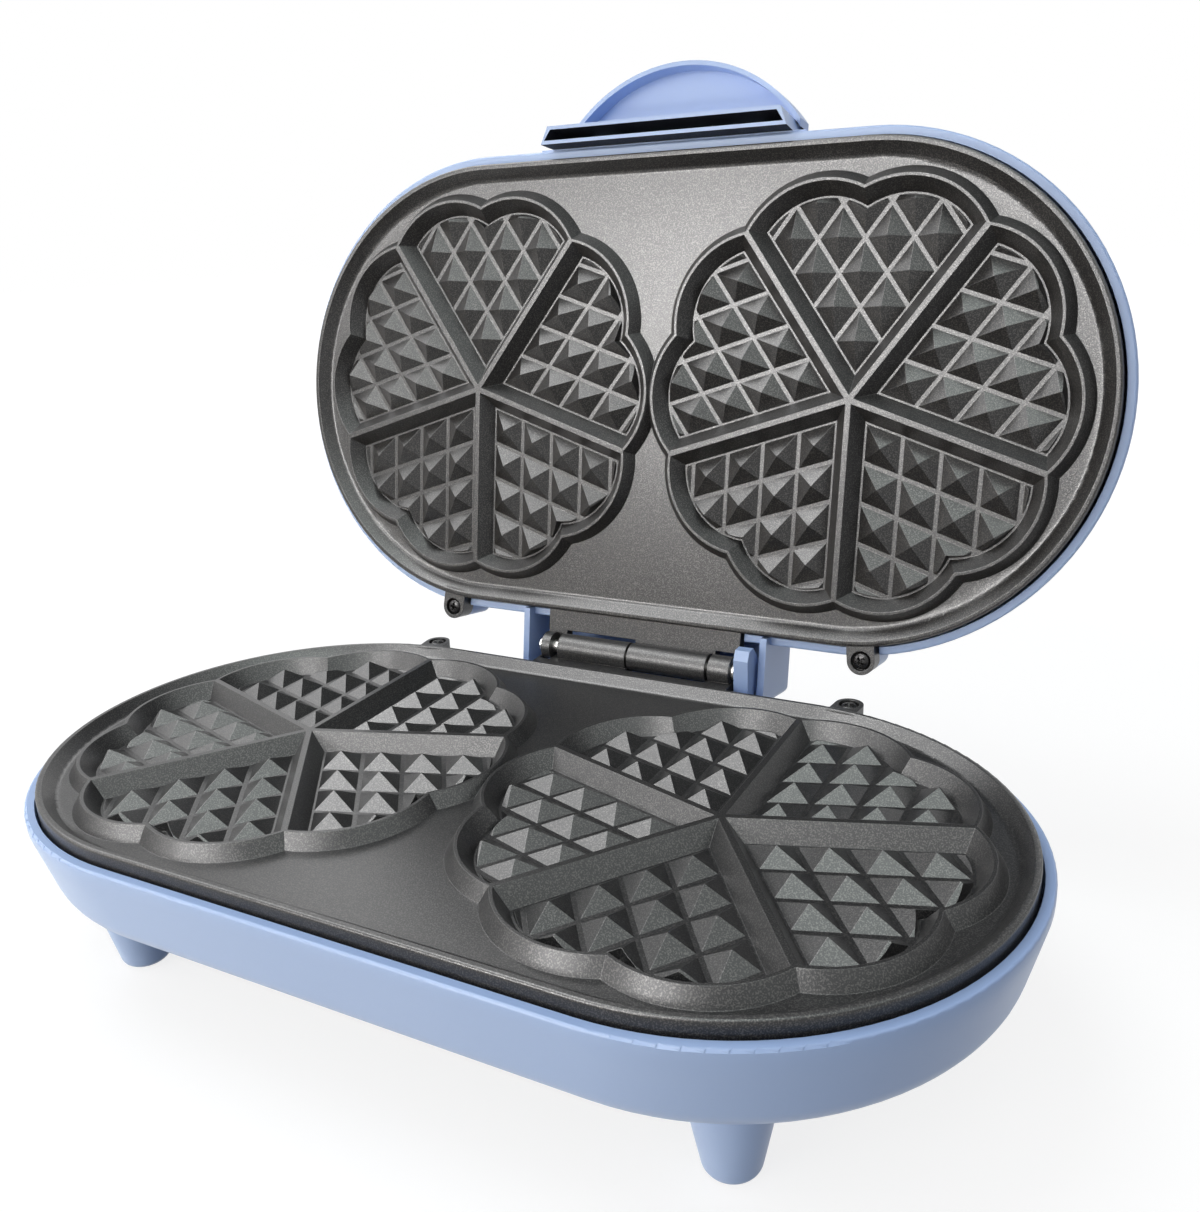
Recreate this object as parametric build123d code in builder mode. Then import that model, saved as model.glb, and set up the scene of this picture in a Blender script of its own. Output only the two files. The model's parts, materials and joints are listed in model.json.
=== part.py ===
from build123d import *
import os
from math import atan, cos, degrees, radians, sin, sqrt, tan

# A double waffle iron, open as it stands on a table. Millimetres, +Z up, +X along its length,
# +Y from the front towards the hinge. The origin is on the table, under the middle of the open iron.
# Both halves are drawn in one set of own coordinates: x along the length, y towards the hinge,
# z out of the cooking face, zero at the middle of the tops of the ridges.

# Cooking pattern: five hearts make a flower, two flowers make a plate
HEARTS = 5
LOBE_REACH = 44.5         # flower centre to the centre of a lobe's arc
LOBE_RADIUS = 30.9        # lobe's arc, at the middle of the ridge
FLOWER_GAP = 2.6          # between the two flowers' ridges, from middle to middle
RIDGE_TOP = 1.0           # width of a flower's ridge at its top
RIDGE_FOOT = 3.0          # how far a ridge's outer side spreads down to the land
WALL_TOP = 2.0            # width of the dividing walls at their top
POCKET_DEPTH = 5.8
POCKET_LEAN = 4.0         # how far a pocket's sides lean in, down to its floor
CELL = 14.2               # side of a pyramid's rhombic cell
VALLEY = 1.5              # flat valley between pyramids
PYRAMID_HEIGHT = 4.0
TRIM_LEAN = 0.3           # how far a trimmed pyramid's cut side leans in, per height
SMALLEST_PYRAMID = 2.0    # volume under which a trimmed pyramid is left out
FLOWER_REACH = LOBE_REACH + LOBE_RADIUS
FLOWER_PITCH = 2 * FLOWER_REACH + FLOWER_GAP
FLOWERS = (-FLOWER_PITCH / 2, FLOWER_PITCH / 2)
HALF_HEART = 180 / HEARTS
SIDE_PITCH = CELL * sin(radians(2 * HALF_HEART))

# Plate casting
LAND_MARGIN = 11.1        # from the flowers' ridges to the plate's edge
PLATE_HALF = FLOWER_REACH + LAND_MARGIN     # half the width, and the radius of the round ends
PLATE_FLOOR = 4.2         # metal under the pockets
PLATE_DEPTH = POCKET_DEPTH + PLATE_FLOOR    # ridge tops to the underside
LAND_DEPTH = 4.5          # ridge tops to the flat land round the flowers
BEAD_DROP = 0.6           # ridge tops to the top of the rim bead
BEAD_WIDTH = 2.0
BEAD_SLOPE = 3.8          # how far the bead's inner side leans
BEAD_ROUND = 1.0
BEAD_COVE = 2.5           # hollow rounding where the bead's inner side meets the land
EAR_SPREAD = 11.3         # screw ears on the rear edge, outwards of the flower centres
EAR_PROUD = 5.2           # and from the plate's edge out to the screw
EAR_X = FLOWER_PITCH / 2 + EAR_SPREAD
EAR_Y = sqrt((PLATE_HALF + EAR_PROUD) ** 2 - EAR_SPREAD ** 2)
EAR_RADIUS = 5.0
EAR_WEB = 8.0
EAR_DROP = 1.0
EAR_THICKNESS = 7.5

# Shells
RIM_WALL = 3.0
PLATE_CLEARANCE = 0.9     # dark gap between plate and rim
PLATE_EDGE = PLATE_HALF + PLATE_CLEARANCE
SHELL_HALF = PLATE_EDGE + RIM_WALL          # half the width at the rim
FLOOR_WALL = 2.6
SHELL_DROP = 5.0          # ridge tops to the rim's edge
RIM_BAND = 3.6            # upright part of the rim
RIM_ROUND = 0.9
SIDE_DRAFT = 13.5
BASE_DEPTH = 35.4         # ridge tops to the base's underside
BASE_ROUND = 12.0
LID_DEPTH = 34.0
LID_ROUND = 14.0
POST_RADIUS = 4.5
EAR_POST = 13.5           # length of the posts under the plate's ears
NOTCH_GAP = 0.8           # round the plate's tongue and ears where the rim is cut away

# Hinge
HINGE_PROUD = 10.7        # shell's rim to the pin
HINGE_Y = SHELL_HALF + HINGE_PROUD          # plate's centre line to the pin
CLOSED_GAP = 0.8          # between the two halves' ridges when closed
HINGE_Z = CLOSED_GAP / 2
LID_ANGLE = 100.3         # opening angle of the photographed lid
LEAN = radians(LID_ANGLE - 90)
BARREL_RADIUS = 5.5
LOWER_BARRELS = ((-32.7, -2.6), (32.2, 40.6))     # each barrel's span along the pin
UPPER_BARRELS = ((-31.0, 1.7), (36.4, 40.2))      # the same in the lid's own coordinates
BARREL_GAP = 0.7          # clearance round the other half's barrels
BARREL_SIDE_GAP = 0.4     # and beside them
TONGUE_MARGIN = 0.9       # tongue's end outside the outer barrel
TONGUE_HALF = LOWER_BARRELS[1][1] + TONGUE_MARGIN
TONGUE_DROP = 3.0
TONGUE_THICKNESS = 4.5
PIN_RADIUS = 2.5
PIN_PLAY = 0.05           # radial clearance of the pin in the lid's barrels
PIN_NECK = 1.9            # groove for the clips
PIN_TIP = 0.8
CLIP_RADIUS = 3.2
CLIP_THICKNESS = 0.9
CLIP_MOUTH = 3.0
CLIP_PLAY = 0.3
CLIP_PLACE = LOWER_BARRELS[1][1] + CLIP_PLAY + CLIP_THICKNESS / 2
PIN_HALF = CLIP_PLACE + CLIP_THICKNESS / 2 + PIN_TIP

# Hinge cradle and ear on the base, hinge housing on the lid
CRADLE_MARGIN = 7.1       # cradle's end outside the tongue
CRADLE_HALF = TONGUE_HALF + CRADLE_MARGIN
CRADLE_Y = HINGE_Y - 1.5
CRADLE_TOP = 9.5
CRADLE_BOTTOM = BASE_DEPTH - 7.4
CRADLE_ROUND = 3.0
DUCT_GAP = 0.2            # beside the pin's end
DUCT_FOOT = -CRADLE_TOP - HINGE_Z
DUCT_PROFILE = ((-9.0, DUCT_FOOT - 0.1), (-5.1, DUCT_FOOT), (-5.1, 6.6), (-3.1, 10.1), (0.9, 10.1),
                (5.4, 5.1), (6.4, -0.4), (5.4, -5.9), (-1.5, DUCT_FOOT))     # round the hinge line
HOUSING_GAP = 1.3         # between the cradle's ends and the housing
HOUSING_WALL = 2.6
HOUSING_HALF = CRADLE_HALF + HOUSING_GAP + HOUSING_WALL
HOUSING_Y = HINGE_Y + 12.9
HOUSING_FRONT = 1.0
HOUSING_BACK = LID_DEPTH - 4.0
HOUSING_ROUND = 3.0
LOOM_HOLE = 4.6           # in the lid's wall, for the flexible lead
LOOM_DEPTH = HOUSING_BACK - 10.0

# Legs
LEG_HEIGHT = 26.6         # base's underside to the table
LEG_TOP_RADIUS = 12.4
LEG_END_RADIUS = 7.4
LEG_END_ROUND = 3.6
LEG_REACH = 6.0           # how far a front leg runs up the rounded edge of the base
FRONT_LEG = (FLOWER_PITCH / 2 + 26.8, 30.4 - SHELL_HALF)
REAR_LEG = (35.0, CRADLE_Y - 17.0)          # under the cradle, so that the open lid can't tip the iron
REAR_SCREW = (35.0, CRADLE_Y - 11.0)
LEGS = {"leg_front_left": (-FRONT_LEG[0], FRONT_LEG[1]), "leg_front_right": FRONT_LEG,
        "leg_rear_left": (-REAR_LEG[0], REAR_LEG[1]), "leg_rear_right": REAR_LEG}
LEG_SEATS = [(side * FRONT_LEG[0], FRONT_LEG[1], BASE_DEPTH) for side in (-1, 1)]
LEG_SEATS += [(side * REAR_SCREW[0], REAR_SCREW[1], CRADLE_BOTTOM) for side in (-1, 1)]
PAD_RADIUS = 3.6
PAD_THICKNESS = 2.4
PAD_PROUD = 0.6

# Handle
GRIP_MOUTH = 2.0          # how far the grip's mouth stands in front of the ridges
GRIP_ROOT = LID_DEPTH - 10.0                # depth of the grip's closed end
GRIP_THICKNESS = 6.4
GRIP_WALL = 1.3
GRIP_HALF_MOUTH = 48.6
GRIP_HALF_ROOT = GRIP_HALF_MOUTH - 1.6
GRIP_CHAMFER = 2.6        # how much shorter the outer long side is, at each end
SEAT_HALF = GRIP_HALF_MOUTH + 4.4           # flat seat on the lid that carries the grip
SEAT_Y = SHELL_HALF + 0.8
SEAT_FRONT = SHELL_DROP + 1.5
SEAT_BACK = LID_DEPTH - 7.6
FLANGE_RADIUS = 59.0      # half-moon finger flange
FLANGE_REACH = SEAT_Y + 30.0                # plate's centre line to the flange's crest
FLANGE_THICKNESS = 2.4
FLANGE_RIM = 7.2
FLANGE_RIM_WIDTH = 1.6
GRIP_SCREW_X = 30.0
GRIP_SCREW_DEPTH = GRIP_ROOT - 5.2
GRIP_BITE = GRIP_THICKNESS - GRIP_WALL      # how deep the holes for its screws are
GRIP_BOSS = (9.0, 8.0)
GRIP_SEAT_Y = PLATE_HALF - 3.5              # flat seat inside the lid for a grip screw's head

# Heater and what stands under the plate
TUBE_RADIUS = 3.25
HEATER_RADIUS = PLATE_HALF - 26.5           # of the loop's round ends, and half its width
HEATER_END = 14.0
HEATER_BEND = 10.0
HEATER_STOP = HEATER_RADIUS - 20.0          # plate's centre line to the tube's ends
END_LENGTH = 9.0
END_RADIUS = 1.2
STUD_RADIUS = 1.5         # small studs on the plate that carry the straps
STUD_HEIGHT = 1.8
CLIP_STRAP = 0.8
CLIP_WIDTH = 9.0
CLIP_FOOT = 7.0
CLIP_X = FLOWER_PITCH / 2 - 18.7            # straps that hold the tube to the plate
PILLAR_X = 40.0           # pillars under the plate that take the fixing screws
PILLAR_Y = HEATER_RADIUS - 10.0
PILLAR_RADIUS = 4.5
PILLAR_LENGTH = 8.0
REFLECTOR_HALF = PLATE_HALF - 15.5
REFLECTOR_SHEET = 0.6
REFLECTOR_DEPTH = PLATE_DEPTH + PILLAR_LENGTH
WINDOW = (44.0, 60.0)     # opening in the reflector for the terminals
WINDOW_Y = HEATER_STOP - 24.0
THERMOSTAT_RADIUS = 8.0
THERMOSTAT_HEIGHT = 5.0
THERMOSTAT_FLANGE = (28.0, 8.0, 1.0)
THERMOSTAT_DEPTH = PLATE_DEPTH + THERMOSTAT_FLANGE[2] + THERMOSTAT_HEIGHT
BLADE = (0.8, 4.0, 2.5)
BLADE_X = 4.0
FUSE_RADIUS = 2.0
FUSE_LENGTH = 16.0
FUSE_Y = HEATER_STOP - 20.0
BLOCK_SIZE = (26.0, 14.0)
BLOCK_Y = HEATER_STOP - 10.0
BLOCK_DEPTH = REFLECTOR_DEPTH + REFLECTOR_SHEET + 4.8     # ridge tops to the terminal block's top
PEG_X = 7.0
LEAD_RADIUS = 1.1
LEAD_BEND = 1.6
LEAD_START = 4.4          # straight run at a lead's end
LEAD_DEPTH = BLOCK_DEPTH - 2.4              # depth at which leads run under the reflector
LENS_RADIUS = 4.2
LENS_FLANGE = 5.2
LENS_PROUD = 0.9
LENS_X = 10.0
LENS_Y = -40.0
LAMP_RADIUS = 3.0
LAMP_DEPTH = BLOCK_DEPTH + 1.0              # ridge tops to the lamp's inner end

# Screws and the cord's gland
SCREW_RADIUS = 1.7
SCREW_PLAY = 0.15
HEAD_RADIUS = 3.3
HEAD_HEIGHT = 2.2
HEAD_PLAY = 0.3
CROSS_WIDTH = 0.9
CROSS_DEPTH = 1.2
THREAD_LENGTH = 6.5       # how deep a screw bites
SCREW_WELL = 6.0          # recess in a shell's floor for a fixing screw's head
GLAND_X = -26.0
GLAND_DEPTH = CRADLE_BOTTOM - 8.0
GLAND_BORE = 3.2
GLAND_NECK = 4.6
GLAND_RADIUS = 5.4
GLAND_TAIL = 4.6
GLAND_LENGTH = 8.5
GLAND_LIP = 1.6

# Where the open iron stands: its lid's rear corner reaches furthest back, the rim furthest forward
RIDGE_HEIGHT = BASE_DEPTH + LEG_HEIGHT
LID_FLAT = SHELL_HALF - (LID_DEPTH - SHELL_DROP - RIM_BAND) * tan(radians(SIDE_DRAFT)) \
    - LID_ROUND * tan(radians(45 - SIDE_DRAFT / 2))
BACK_REACH = HINGE_Y + (HINGE_Y + LID_FLAT) * sin(LEAN) \
    + (LID_DEPTH - LID_ROUND + HINGE_Z) * cos(LEAN) + LID_ROUND
BASE_Y = (SHELL_HALF - BACK_REACH) / 2

base_face = Plane((0, BASE_Y, RIDGE_HEIGHT))
lid_normal = Vector(0, -cos(LEAN), sin(LEAN))
lid_down = Vector(0, -sin(LEAN), -cos(LEAN))
hinge_point = Vector(0, BASE_Y + HINGE_Y, RIDGE_HEIGHT + HINGE_Z)
lid_middle = hinge_point - lid_down * HINGE_Y - lid_normal * HINGE_Z
lid_face = Plane(lid_middle, x_dir=(-1, 0, 0), z_dir=lid_normal)


def level(face, x=0.0, y=0.0, z=0.0):
    """A plane parallel to a half's cooking face, at a point in that half's own coordinates."""
    return Plane(face.from_local_coords(Vector(x, y, z)), x_dir=face.x_dir, z_dir=face.z_dir)


def along_hinge(face, x=0.0, y=0.0, z=0.0):
    """A plane square to the hinge: its x runs towards the hinge, its y out of the cooking face."""
    return Plane(face.from_local_coords(Vector(x, y, z)), x_dir=face.y_dir, z_dir=face.x_dir)


def facing_rear(face, x=0.0, y=0.0, z=0.0):
    """A plane that looks towards the hinge side: its x runs along the length, its y inwards."""
    return Plane(face.from_local_coords(Vector(x, y, z)), x_dir=face.x_dir, z_dir=face.y_dir)


def outward(face):
    """The direction out of a half's cooking face, to sort its faces and edges by."""
    return Axis(face.origin, face.z_dir)


# The pocket of one heart, with its pyramids standing, as one cutter along +X of a flower
def heart(depth, wall_inset, lobe_radius):
    """A heart between two dividing walls, its apex towards the flower centre."""
    half = radians(HALF_HEART)
    middle = Vector(LOBE_REACH * cos(half / 2), LOBE_REACH * sin(half / 2))
    wall = Vector(cos(half), sin(half))
    start = Vector(wall_inset * sin(half), -wall_inset * cos(half))
    along = (middle - start).dot(wall)
    aside = (middle - start).dot(Vector(-wall.Y, wall.X))
    corner = start + wall * (along + sqrt(lobe_radius ** 2 - aside ** 2))
    notch = Vector(middle.X + sqrt(lobe_radius ** 2 - middle.Y ** 2), 0)
    crest = middle + ((corner + notch) * 0.5 - middle).normalized() * lobe_radius
    apex = (wall_inset / sin(half), 0)
    with BuildSketch(Plane.XY.offset(-depth)) as outline:
        with BuildLine():
            Line(apex, corner)
            ThreePointArc(corner, crest, notch)
            ThreePointArc(notch, (crest.X, -crest.Y), (corner.X, -corner.Y))
            Line((corner.X, -corner.Y), apex)
        make_face()
    return outline.sketch


OVERCUT = 0.5
SKIRT = 0.8
FLOOR_INSET = WALL_TOP / 2 + POCKET_LEAN
TOP_LOBE = LOBE_RADIUS - RIDGE_TOP / 2
FLOOR_LOBE = TOP_LOBE - POCKET_LEAN
VALLEY_RATE = (SIDE_PITCH - VALLEY) / 2 / PYRAMID_HEIGHT

with BuildPart() as pyramids:
    for height in (-SKIRT, PYRAMID_HEIGHT + OVERCUT):
        trim = VALLEY / 2 + height * TRIM_LEAN
        add(heart(POCKET_DEPTH - height, FLOOR_INSET + trim, FLOOR_LOBE - trim))
    loft(ruled=True)
    for side in (1, -1):
        inward = Vector(sin(radians(HALF_HEART)), -side * cos(radians(HALF_HEART)), 0)
        rise = PYRAMID_HEIGHT + 2 * OVERCUT
        spread = VALLEY / 2 + rise * VALLEY_RATE
        across = Plane((0, 0, -POCKET_DEPTH), x_dir=inward, z_dir=inward.cross(Vector(0, 0, 1)))
        with BuildSketch(across):
            with Locations(*[(FLOOR_INSET + k * SIDE_PITCH, 0) for k in range(6)]):
                Polygon((-VALLEY / 2, -2 * SKIRT), (VALLEY / 2, -2 * SKIRT), (VALLEY / 2, 0),
                        (spread, rise), (-spread, rise), (-VALLEY / 2, 0), align=None)
        extrude(amount=FLOWER_REACH, both=True, mode=Mode.SUBTRACT)

with BuildPart() as heart_pocket:
    lean = POCKET_LEAN / POCKET_DEPTH
    loft([heart(POCKET_DEPTH, FLOOR_INSET, FLOOR_LOBE),
          heart(-OVERCUT, WALL_TOP / 2 - OVERCUT * lean, TOP_LOBE + OVERCUT * lean)], ruled=True)
    add([block for block in pyramids.solids() if block.volume > SMALLEST_PYRAMID], mode=Mode.SUBTRACT)


# Shapes that both halves share, each in the own coordinates of the half whose face is given
STANDING = (Align.CENTER, Align.CENTER, Align.MIN)
HANGING = (Align.CENTER, Align.CENTER, Align.MAX)
EAR_TURN = degrees(atan((EAR_X - FLOWER_PITCH / 2) / EAR_Y))
EAR_FOOT = EAR_DROP + EAR_THICKNESS
PILLARS = [(x, y) for x in (-PILLAR_X, PILLAR_X) for y in (-PILLAR_Y, PILLAR_Y)]
CLIPS = [(x, y) for x in (-CLIP_X, CLIP_X) for y in (-HEATER_RADIUS, HEATER_RADIUS)]
TUBE_FOOT = TUBE_RADIUS + CLIP_STRAP + CLIP_FOOT / 2
FUSE_FOOT = FUSE_RADIUS + CLIP_STRAP + CLIP_FOOT / 2
FLANGE_STUD = THERMOSTAT_FLANGE[0] / 2 - THERMOSTAT_FLANGE[1] / 2
STUDS = [(x, y + side * TUBE_FOOT) for x, y in CLIPS for side in (-1, 1)]
STUDS += [(0, FUSE_Y + side * FUSE_FOOT) for side in (-1, 1)]
STUDS += [(side * FLANGE_STUD, 0) for side in (-1, 1)]


def places(face, spots, z):
    """Planes parallel to a half's face at several spots of one depth."""
    return Locations(*[level(face, x, y, z) for x, y in spots])


def slot(face, half, z):
    """The outline of plates and shells: half circles round the two flower centres, joined."""
    with BuildSketch(level(face, z=z)) as outline:
        SlotCenterToCenter(FLOWER_PITCH, 2 * half)
    return outline.sketch


def notches(face, clearance, depth):
    """The room that a plate's tongue and screw ears take, grown by a clearance, to cut from a rim."""
    with BuildPart() as room:
        with Locations(level(face, 0, PLATE_EDGE - NOTCH_GAP, 0)):
            Box(2 * (TONGUE_HALF + clearance), HINGE_Y - PLATE_EDGE, depth,
                align=(Align.CENTER, Align.MIN, Align.MAX))
        for side in (-1, 1):
            with Locations(level(face, side * EAR_X, EAR_Y, 0)):
                Cylinder(EAR_RADIUS + clearance, depth, align=HANGING)
                Box(2 * (EAR_RADIUS + clearance), EAR_WEB, depth, rotation=(0, 0, -side * EAR_TURN),
                    align=(Align.CENTER, Align.MAX, Align.MAX))
    return room.part


def cast_plate(face, barrels, mate_barrels, play):
    """One cooking plate with its flowers, rim bead, screw ears, pillars and hinge barrels."""
    with BuildPart() as plate:
        extrude(slot(face, PLATE_HALF, -PLATE_DEPTH), amount=PLATE_DEPTH - BEAD_DROP)
        fillet(plate.faces().sort_by(outward(face))[-1].edges(), BEAD_ROUND)
        loft([slot(face, PLATE_HALF - BEAD_WIDTH - BEAD_SLOPE, -LAND_DEPTH),
              slot(face, PLATE_HALF - BEAD_WIDTH, -BEAD_DROP)], ruled=True, mode=Mode.SUBTRACT)
        land = plate.faces().filter_by(Plane(face.origin, z_dir=face.z_dir)).sort_by(outward(face))[-2]
        fillet(land.edges(), BEAD_COVE)
        with places(face, [(x, 0) for x in FLOWERS], -LAND_DEPTH):
            Cylinder(LOBE_REACH, LAND_DEPTH, align=STANDING)
            with PolarLocations(LOBE_REACH, 2 * HEARTS):
                Cone(LOBE_RADIUS + RIDGE_TOP / 2 + RIDGE_FOOT, LOBE_RADIUS + RIDGE_TOP / 2,
                     LAND_DEPTH, align=STANDING)
        with places(face, [(x, 0) for x in FLOWERS], 0):
            with PolarLocations(0, HEARTS, start_angle=90 - HALF_HEART):
                add(heart_pocket.part, mode=Mode.SUBTRACT)
        # Screw ears on the rear edge, their webs running towards the flower centres
        for side in (-1, 1):
            with Locations(level(face, side * EAR_X, EAR_Y, -EAR_DROP)):
                Cylinder(EAR_RADIUS, EAR_THICKNESS, align=HANGING)
                Box(2 * EAR_RADIUS, EAR_WEB, EAR_THICKNESS, rotation=(0, 0, -side * EAR_TURN),
                    align=(Align.CENTER, Align.MAX, Align.MAX))
                Cylinder(SCREW_RADIUS + SCREW_PLAY, EAR_THICKNESS, align=HANGING, mode=Mode.SUBTRACT)
                Cylinder(HEAD_RADIUS + HEAD_PLAY, HEAD_HEIGHT, align=HANGING, mode=Mode.SUBTRACT)
        # Tongue and barrels, which interleave with the other half's
        with BuildSketch(level(face, z=-TONGUE_DROP)):
            with Locations((0, PLATE_HALF - BEAD_WIDTH / 2)):
                Rectangle(2 * TONGUE_HALF, HINGE_Y - PLATE_HALF + BEAD_WIDTH / 2,
                          align=(Align.CENTER, Align.MIN))
            for start, end in mate_barrels:
                with Locations((-end - BARREL_SIDE_GAP, HINGE_Y - BARREL_RADIUS - BARREL_GAP)):
                    Rectangle(end - start + 2 * BARREL_SIDE_GAP, 2 * BARREL_RADIUS,
                              align=(Align.MIN, Align.MIN), mode=Mode.SUBTRACT)
        extrude(amount=-TONGUE_THICKNESS)
        for start, end in barrels:
            with Locations(along_hinge(face, start, HINGE_Y, HINGE_Z)):
                Cylinder(BARREL_RADIUS, end - start, align=STANDING)
                Cylinder(PIN_RADIUS + play, end - start, align=STANDING, mode=Mode.SUBTRACT)
        # Underside: pillars for the fixing screws, studs for the straps
        with places(face, PILLARS, -PLATE_DEPTH):
            Cylinder(PILLAR_RADIUS, PILLAR_LENGTH, align=HANGING)
        with places(face, PILLARS, -REFLECTOR_DEPTH):
            Cylinder(SCREW_RADIUS, THREAD_LENGTH, align=STANDING, mode=Mode.SUBTRACT)
        with places(face, STUDS, -PLATE_DEPTH):
            Cylinder(STUD_RADIUS, STUD_HEIGHT, align=HANGING)
    return plate.part


def bowl(face, half, depth, edge_round, rise):
    """A solid in a shell's form: an upright rim band, a drafted side and a rounded floor edge."""
    with BuildPart() as form:
        band = SHELL_DROP + RIM_BAND
        extrude(slot(face, half, -band), amount=RIM_BAND + rise)
        extrude(slot(face, half, -band), amount=-(depth - band), taper=SIDE_DRAFT)
        fillet(form.faces().sort_by(outward(face))[0].edges(), edge_round)
    return form.part


def moulded_shell(face, depth, edge_round, outside):
    """A hollow shell with its rim, posts, pegs and screw holes; outside is what stands out of it."""
    floor = -depth + FLOOR_WALL
    with BuildPart() as shell:
        add(bowl(face, SHELL_HALF, depth, edge_round, 0))
        fillet(shell.faces().sort_by(outward(face))[-1].edges(), RIM_ROUND)
        add(outside)
        with places(face, [(-EAR_X, EAR_Y), (EAR_X, EAR_Y)], -EAR_FOOT):
            Cylinder(EAR_RADIUS, EAR_POST, align=HANGING)
        add(bowl(face, PLATE_EDGE, depth - FLOOR_WALL, edge_round - FLOOR_WALL, SHELL_DROP),
            mode=Mode.SUBTRACT)
        add(notches(face, NOTCH_GAP, EAR_FOOT), mode=Mode.SUBTRACT)
        with places(face, [(-EAR_X, EAR_Y), (EAR_X, EAR_Y)], -EAR_FOOT):
            Cylinder(SCREW_RADIUS, THREAD_LENGTH + 1, align=HANGING, mode=Mode.SUBTRACT)
        # Posts up to the reflector, drilled from outside for the fixing screws
        with places(face, PILLARS, -depth):
            Cylinder(POST_RADIUS + FLOOR_WALL, SCREW_WELL + FLOOR_WALL, align=STANDING)
            Cylinder(POST_RADIUS, depth - REFLECTOR_DEPTH - REFLECTOR_SHEET, align=STANDING)
            Cylinder(SCREW_RADIUS + SCREW_PLAY, depth - REFLECTOR_DEPTH, align=STANDING, mode=Mode.SUBTRACT)
            Cylinder(HEAD_RADIUS + HEAD_PLAY, SCREW_WELL, align=STANDING, mode=Mode.SUBTRACT)
        with places(face, [(-PEG_X, BLOCK_Y), (PEG_X, BLOCK_Y)], floor):
            Cylinder(STUD_RADIUS, depth - FLOOR_WALL - BLOCK_DEPTH, align=STANDING)
    return shell.part


def screw(seat, length):
    """A cross-head screw: its head stands on the seat's plane, its shank runs below it."""
    with BuildPart() as body:
        with Locations(seat):
            Cylinder(HEAD_RADIUS, HEAD_HEIGHT, align=STANDING)
            Cylinder(SCREW_RADIUS, length, align=HANGING)
        with Locations(seat.offset(HEAD_HEIGHT)):
            for size in ((HEAD_RADIUS, CROSS_WIDTH), (CROSS_WIDTH, HEAD_RADIUS)):
                Box(size[0], size[1], CROSS_DEPTH, align=HANGING, mode=Mode.SUBTRACT)
    return body.part


def plate_screws(face):
    """The two screws in a plate's ears."""
    seat = -EAR_DROP - HEAD_HEIGHT
    length = EAR_THICKNESS - HEAD_HEIGHT + THREAD_LENGTH
    return [screw(level(face, side * EAR_X, EAR_Y, seat), length) for side in (-1, 1)]


def fixing_screws(face, depth):
    """The four screws through a shell's floor, the reflector and into the plate's pillars."""
    seats = [level(face, x, y, -depth + SCREW_WELL) for x, y in PILLARS]
    length = depth - SCREW_WELL - REFLECTOR_DEPTH + THREAD_LENGTH - 1
    return [screw(Plane(seat.origin, x_dir=seat.x_dir, z_dir=-seat.z_dir), length) for seat in seats]


def heating_element(face):
    """A tubular heater that runs round under both flowers, its ends turned to the middle."""
    with BuildPart() as heater:
        with BuildLine(level(face, z=-PLATE_DEPTH - TUBE_RADIUS)):
            end = FLOWER_PITCH / 2
            FilletPolyline((-HEATER_END, HEATER_STOP), (-HEATER_END, HEATER_RADIUS),
                           (-end, HEATER_RADIUS), radius=HEATER_BEND)
            CenterArc((-end, 0), HEATER_RADIUS, 90, 180)
            Line((-end, -HEATER_RADIUS), (end, -HEATER_RADIUS))
            CenterArc((end, 0), HEATER_RADIUS, -90, 180)
            FilletPolyline((end, HEATER_RADIUS), (HEATER_END, HEATER_RADIUS),
                           (HEATER_END, HEATER_STOP), radius=HEATER_BEND)
        with BuildSketch(facing_rear(face, -HEATER_END, HEATER_STOP, -PLATE_DEPTH - TUBE_RADIUS)):
            Circle(TUBE_RADIUS)
        sweep()
    return heater.part


def element_ends(face):
    """The heater's two cold pins."""
    with BuildPart() as pins:
        for side in (-1, 1):
            with Locations(facing_rear(face, side * HEATER_END, HEATER_STOP, -PLATE_DEPTH - TUBE_RADIUS)):
                Cylinder(END_RADIUS, END_LENGTH, align=HANGING)
    return pins.part


def strap(face, x, y, radius, width):
    """A saddle over a round piece that runs along x, its feet on the plate over two studs."""
    with BuildPart() as saddle:
        with BuildSketch(along_hinge(face, x - width / 2, y, -PLATE_DEPTH)):
            Rectangle(2 * (radius + CLIP_STRAP), 2 * radius + CLIP_STRAP, align=(Align.CENTER, Align.MAX))
            Rectangle(2 * (radius + CLIP_STRAP + CLIP_FOOT), CLIP_STRAP, align=(Align.CENTER, Align.MAX))
            Rectangle(2 * radius, 2 * radius, align=(Align.CENTER, Align.MAX), mode=Mode.SUBTRACT)
        extrude(amount=width)
        foot = radius + CLIP_STRAP + CLIP_FOOT / 2
        with places(face, [(x, y - foot), (x, y + foot)], -PLATE_DEPTH):
            Cylinder(STUD_RADIUS, CLIP_STRAP, align=HANGING, mode=Mode.SUBTRACT)
    return saddle.part


def element_clips(face):
    """The straps of the heater and of the thermal fuse."""
    straps = [strap(face, x, y, TUBE_RADIUS, CLIP_WIDTH) for x, y in CLIPS]
    return straps + [strap(face, 0, FUSE_Y, FUSE_RADIUS, CLIP_WIDTH)]


def reflector(face):
    """The heat-shield sheet between the plate's pillars and the shell's posts."""
    with BuildPart() as sheet:
        extrude(slot(face, REFLECTOR_HALF, -REFLECTOR_DEPTH), amount=-REFLECTOR_SHEET)
        with Locations(level(face, 0, WINDOW_Y, -REFLECTOR_DEPTH)):
            Box(*WINDOW, REFLECTOR_SHEET, align=HANGING, mode=Mode.SUBTRACT)
        with places(face, PILLARS, -REFLECTOR_DEPTH):
            Cylinder(SCREW_RADIUS + SCREW_PLAY, REFLECTOR_SHEET, align=HANGING, mode=Mode.SUBTRACT)
    return sheet.part


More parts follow.
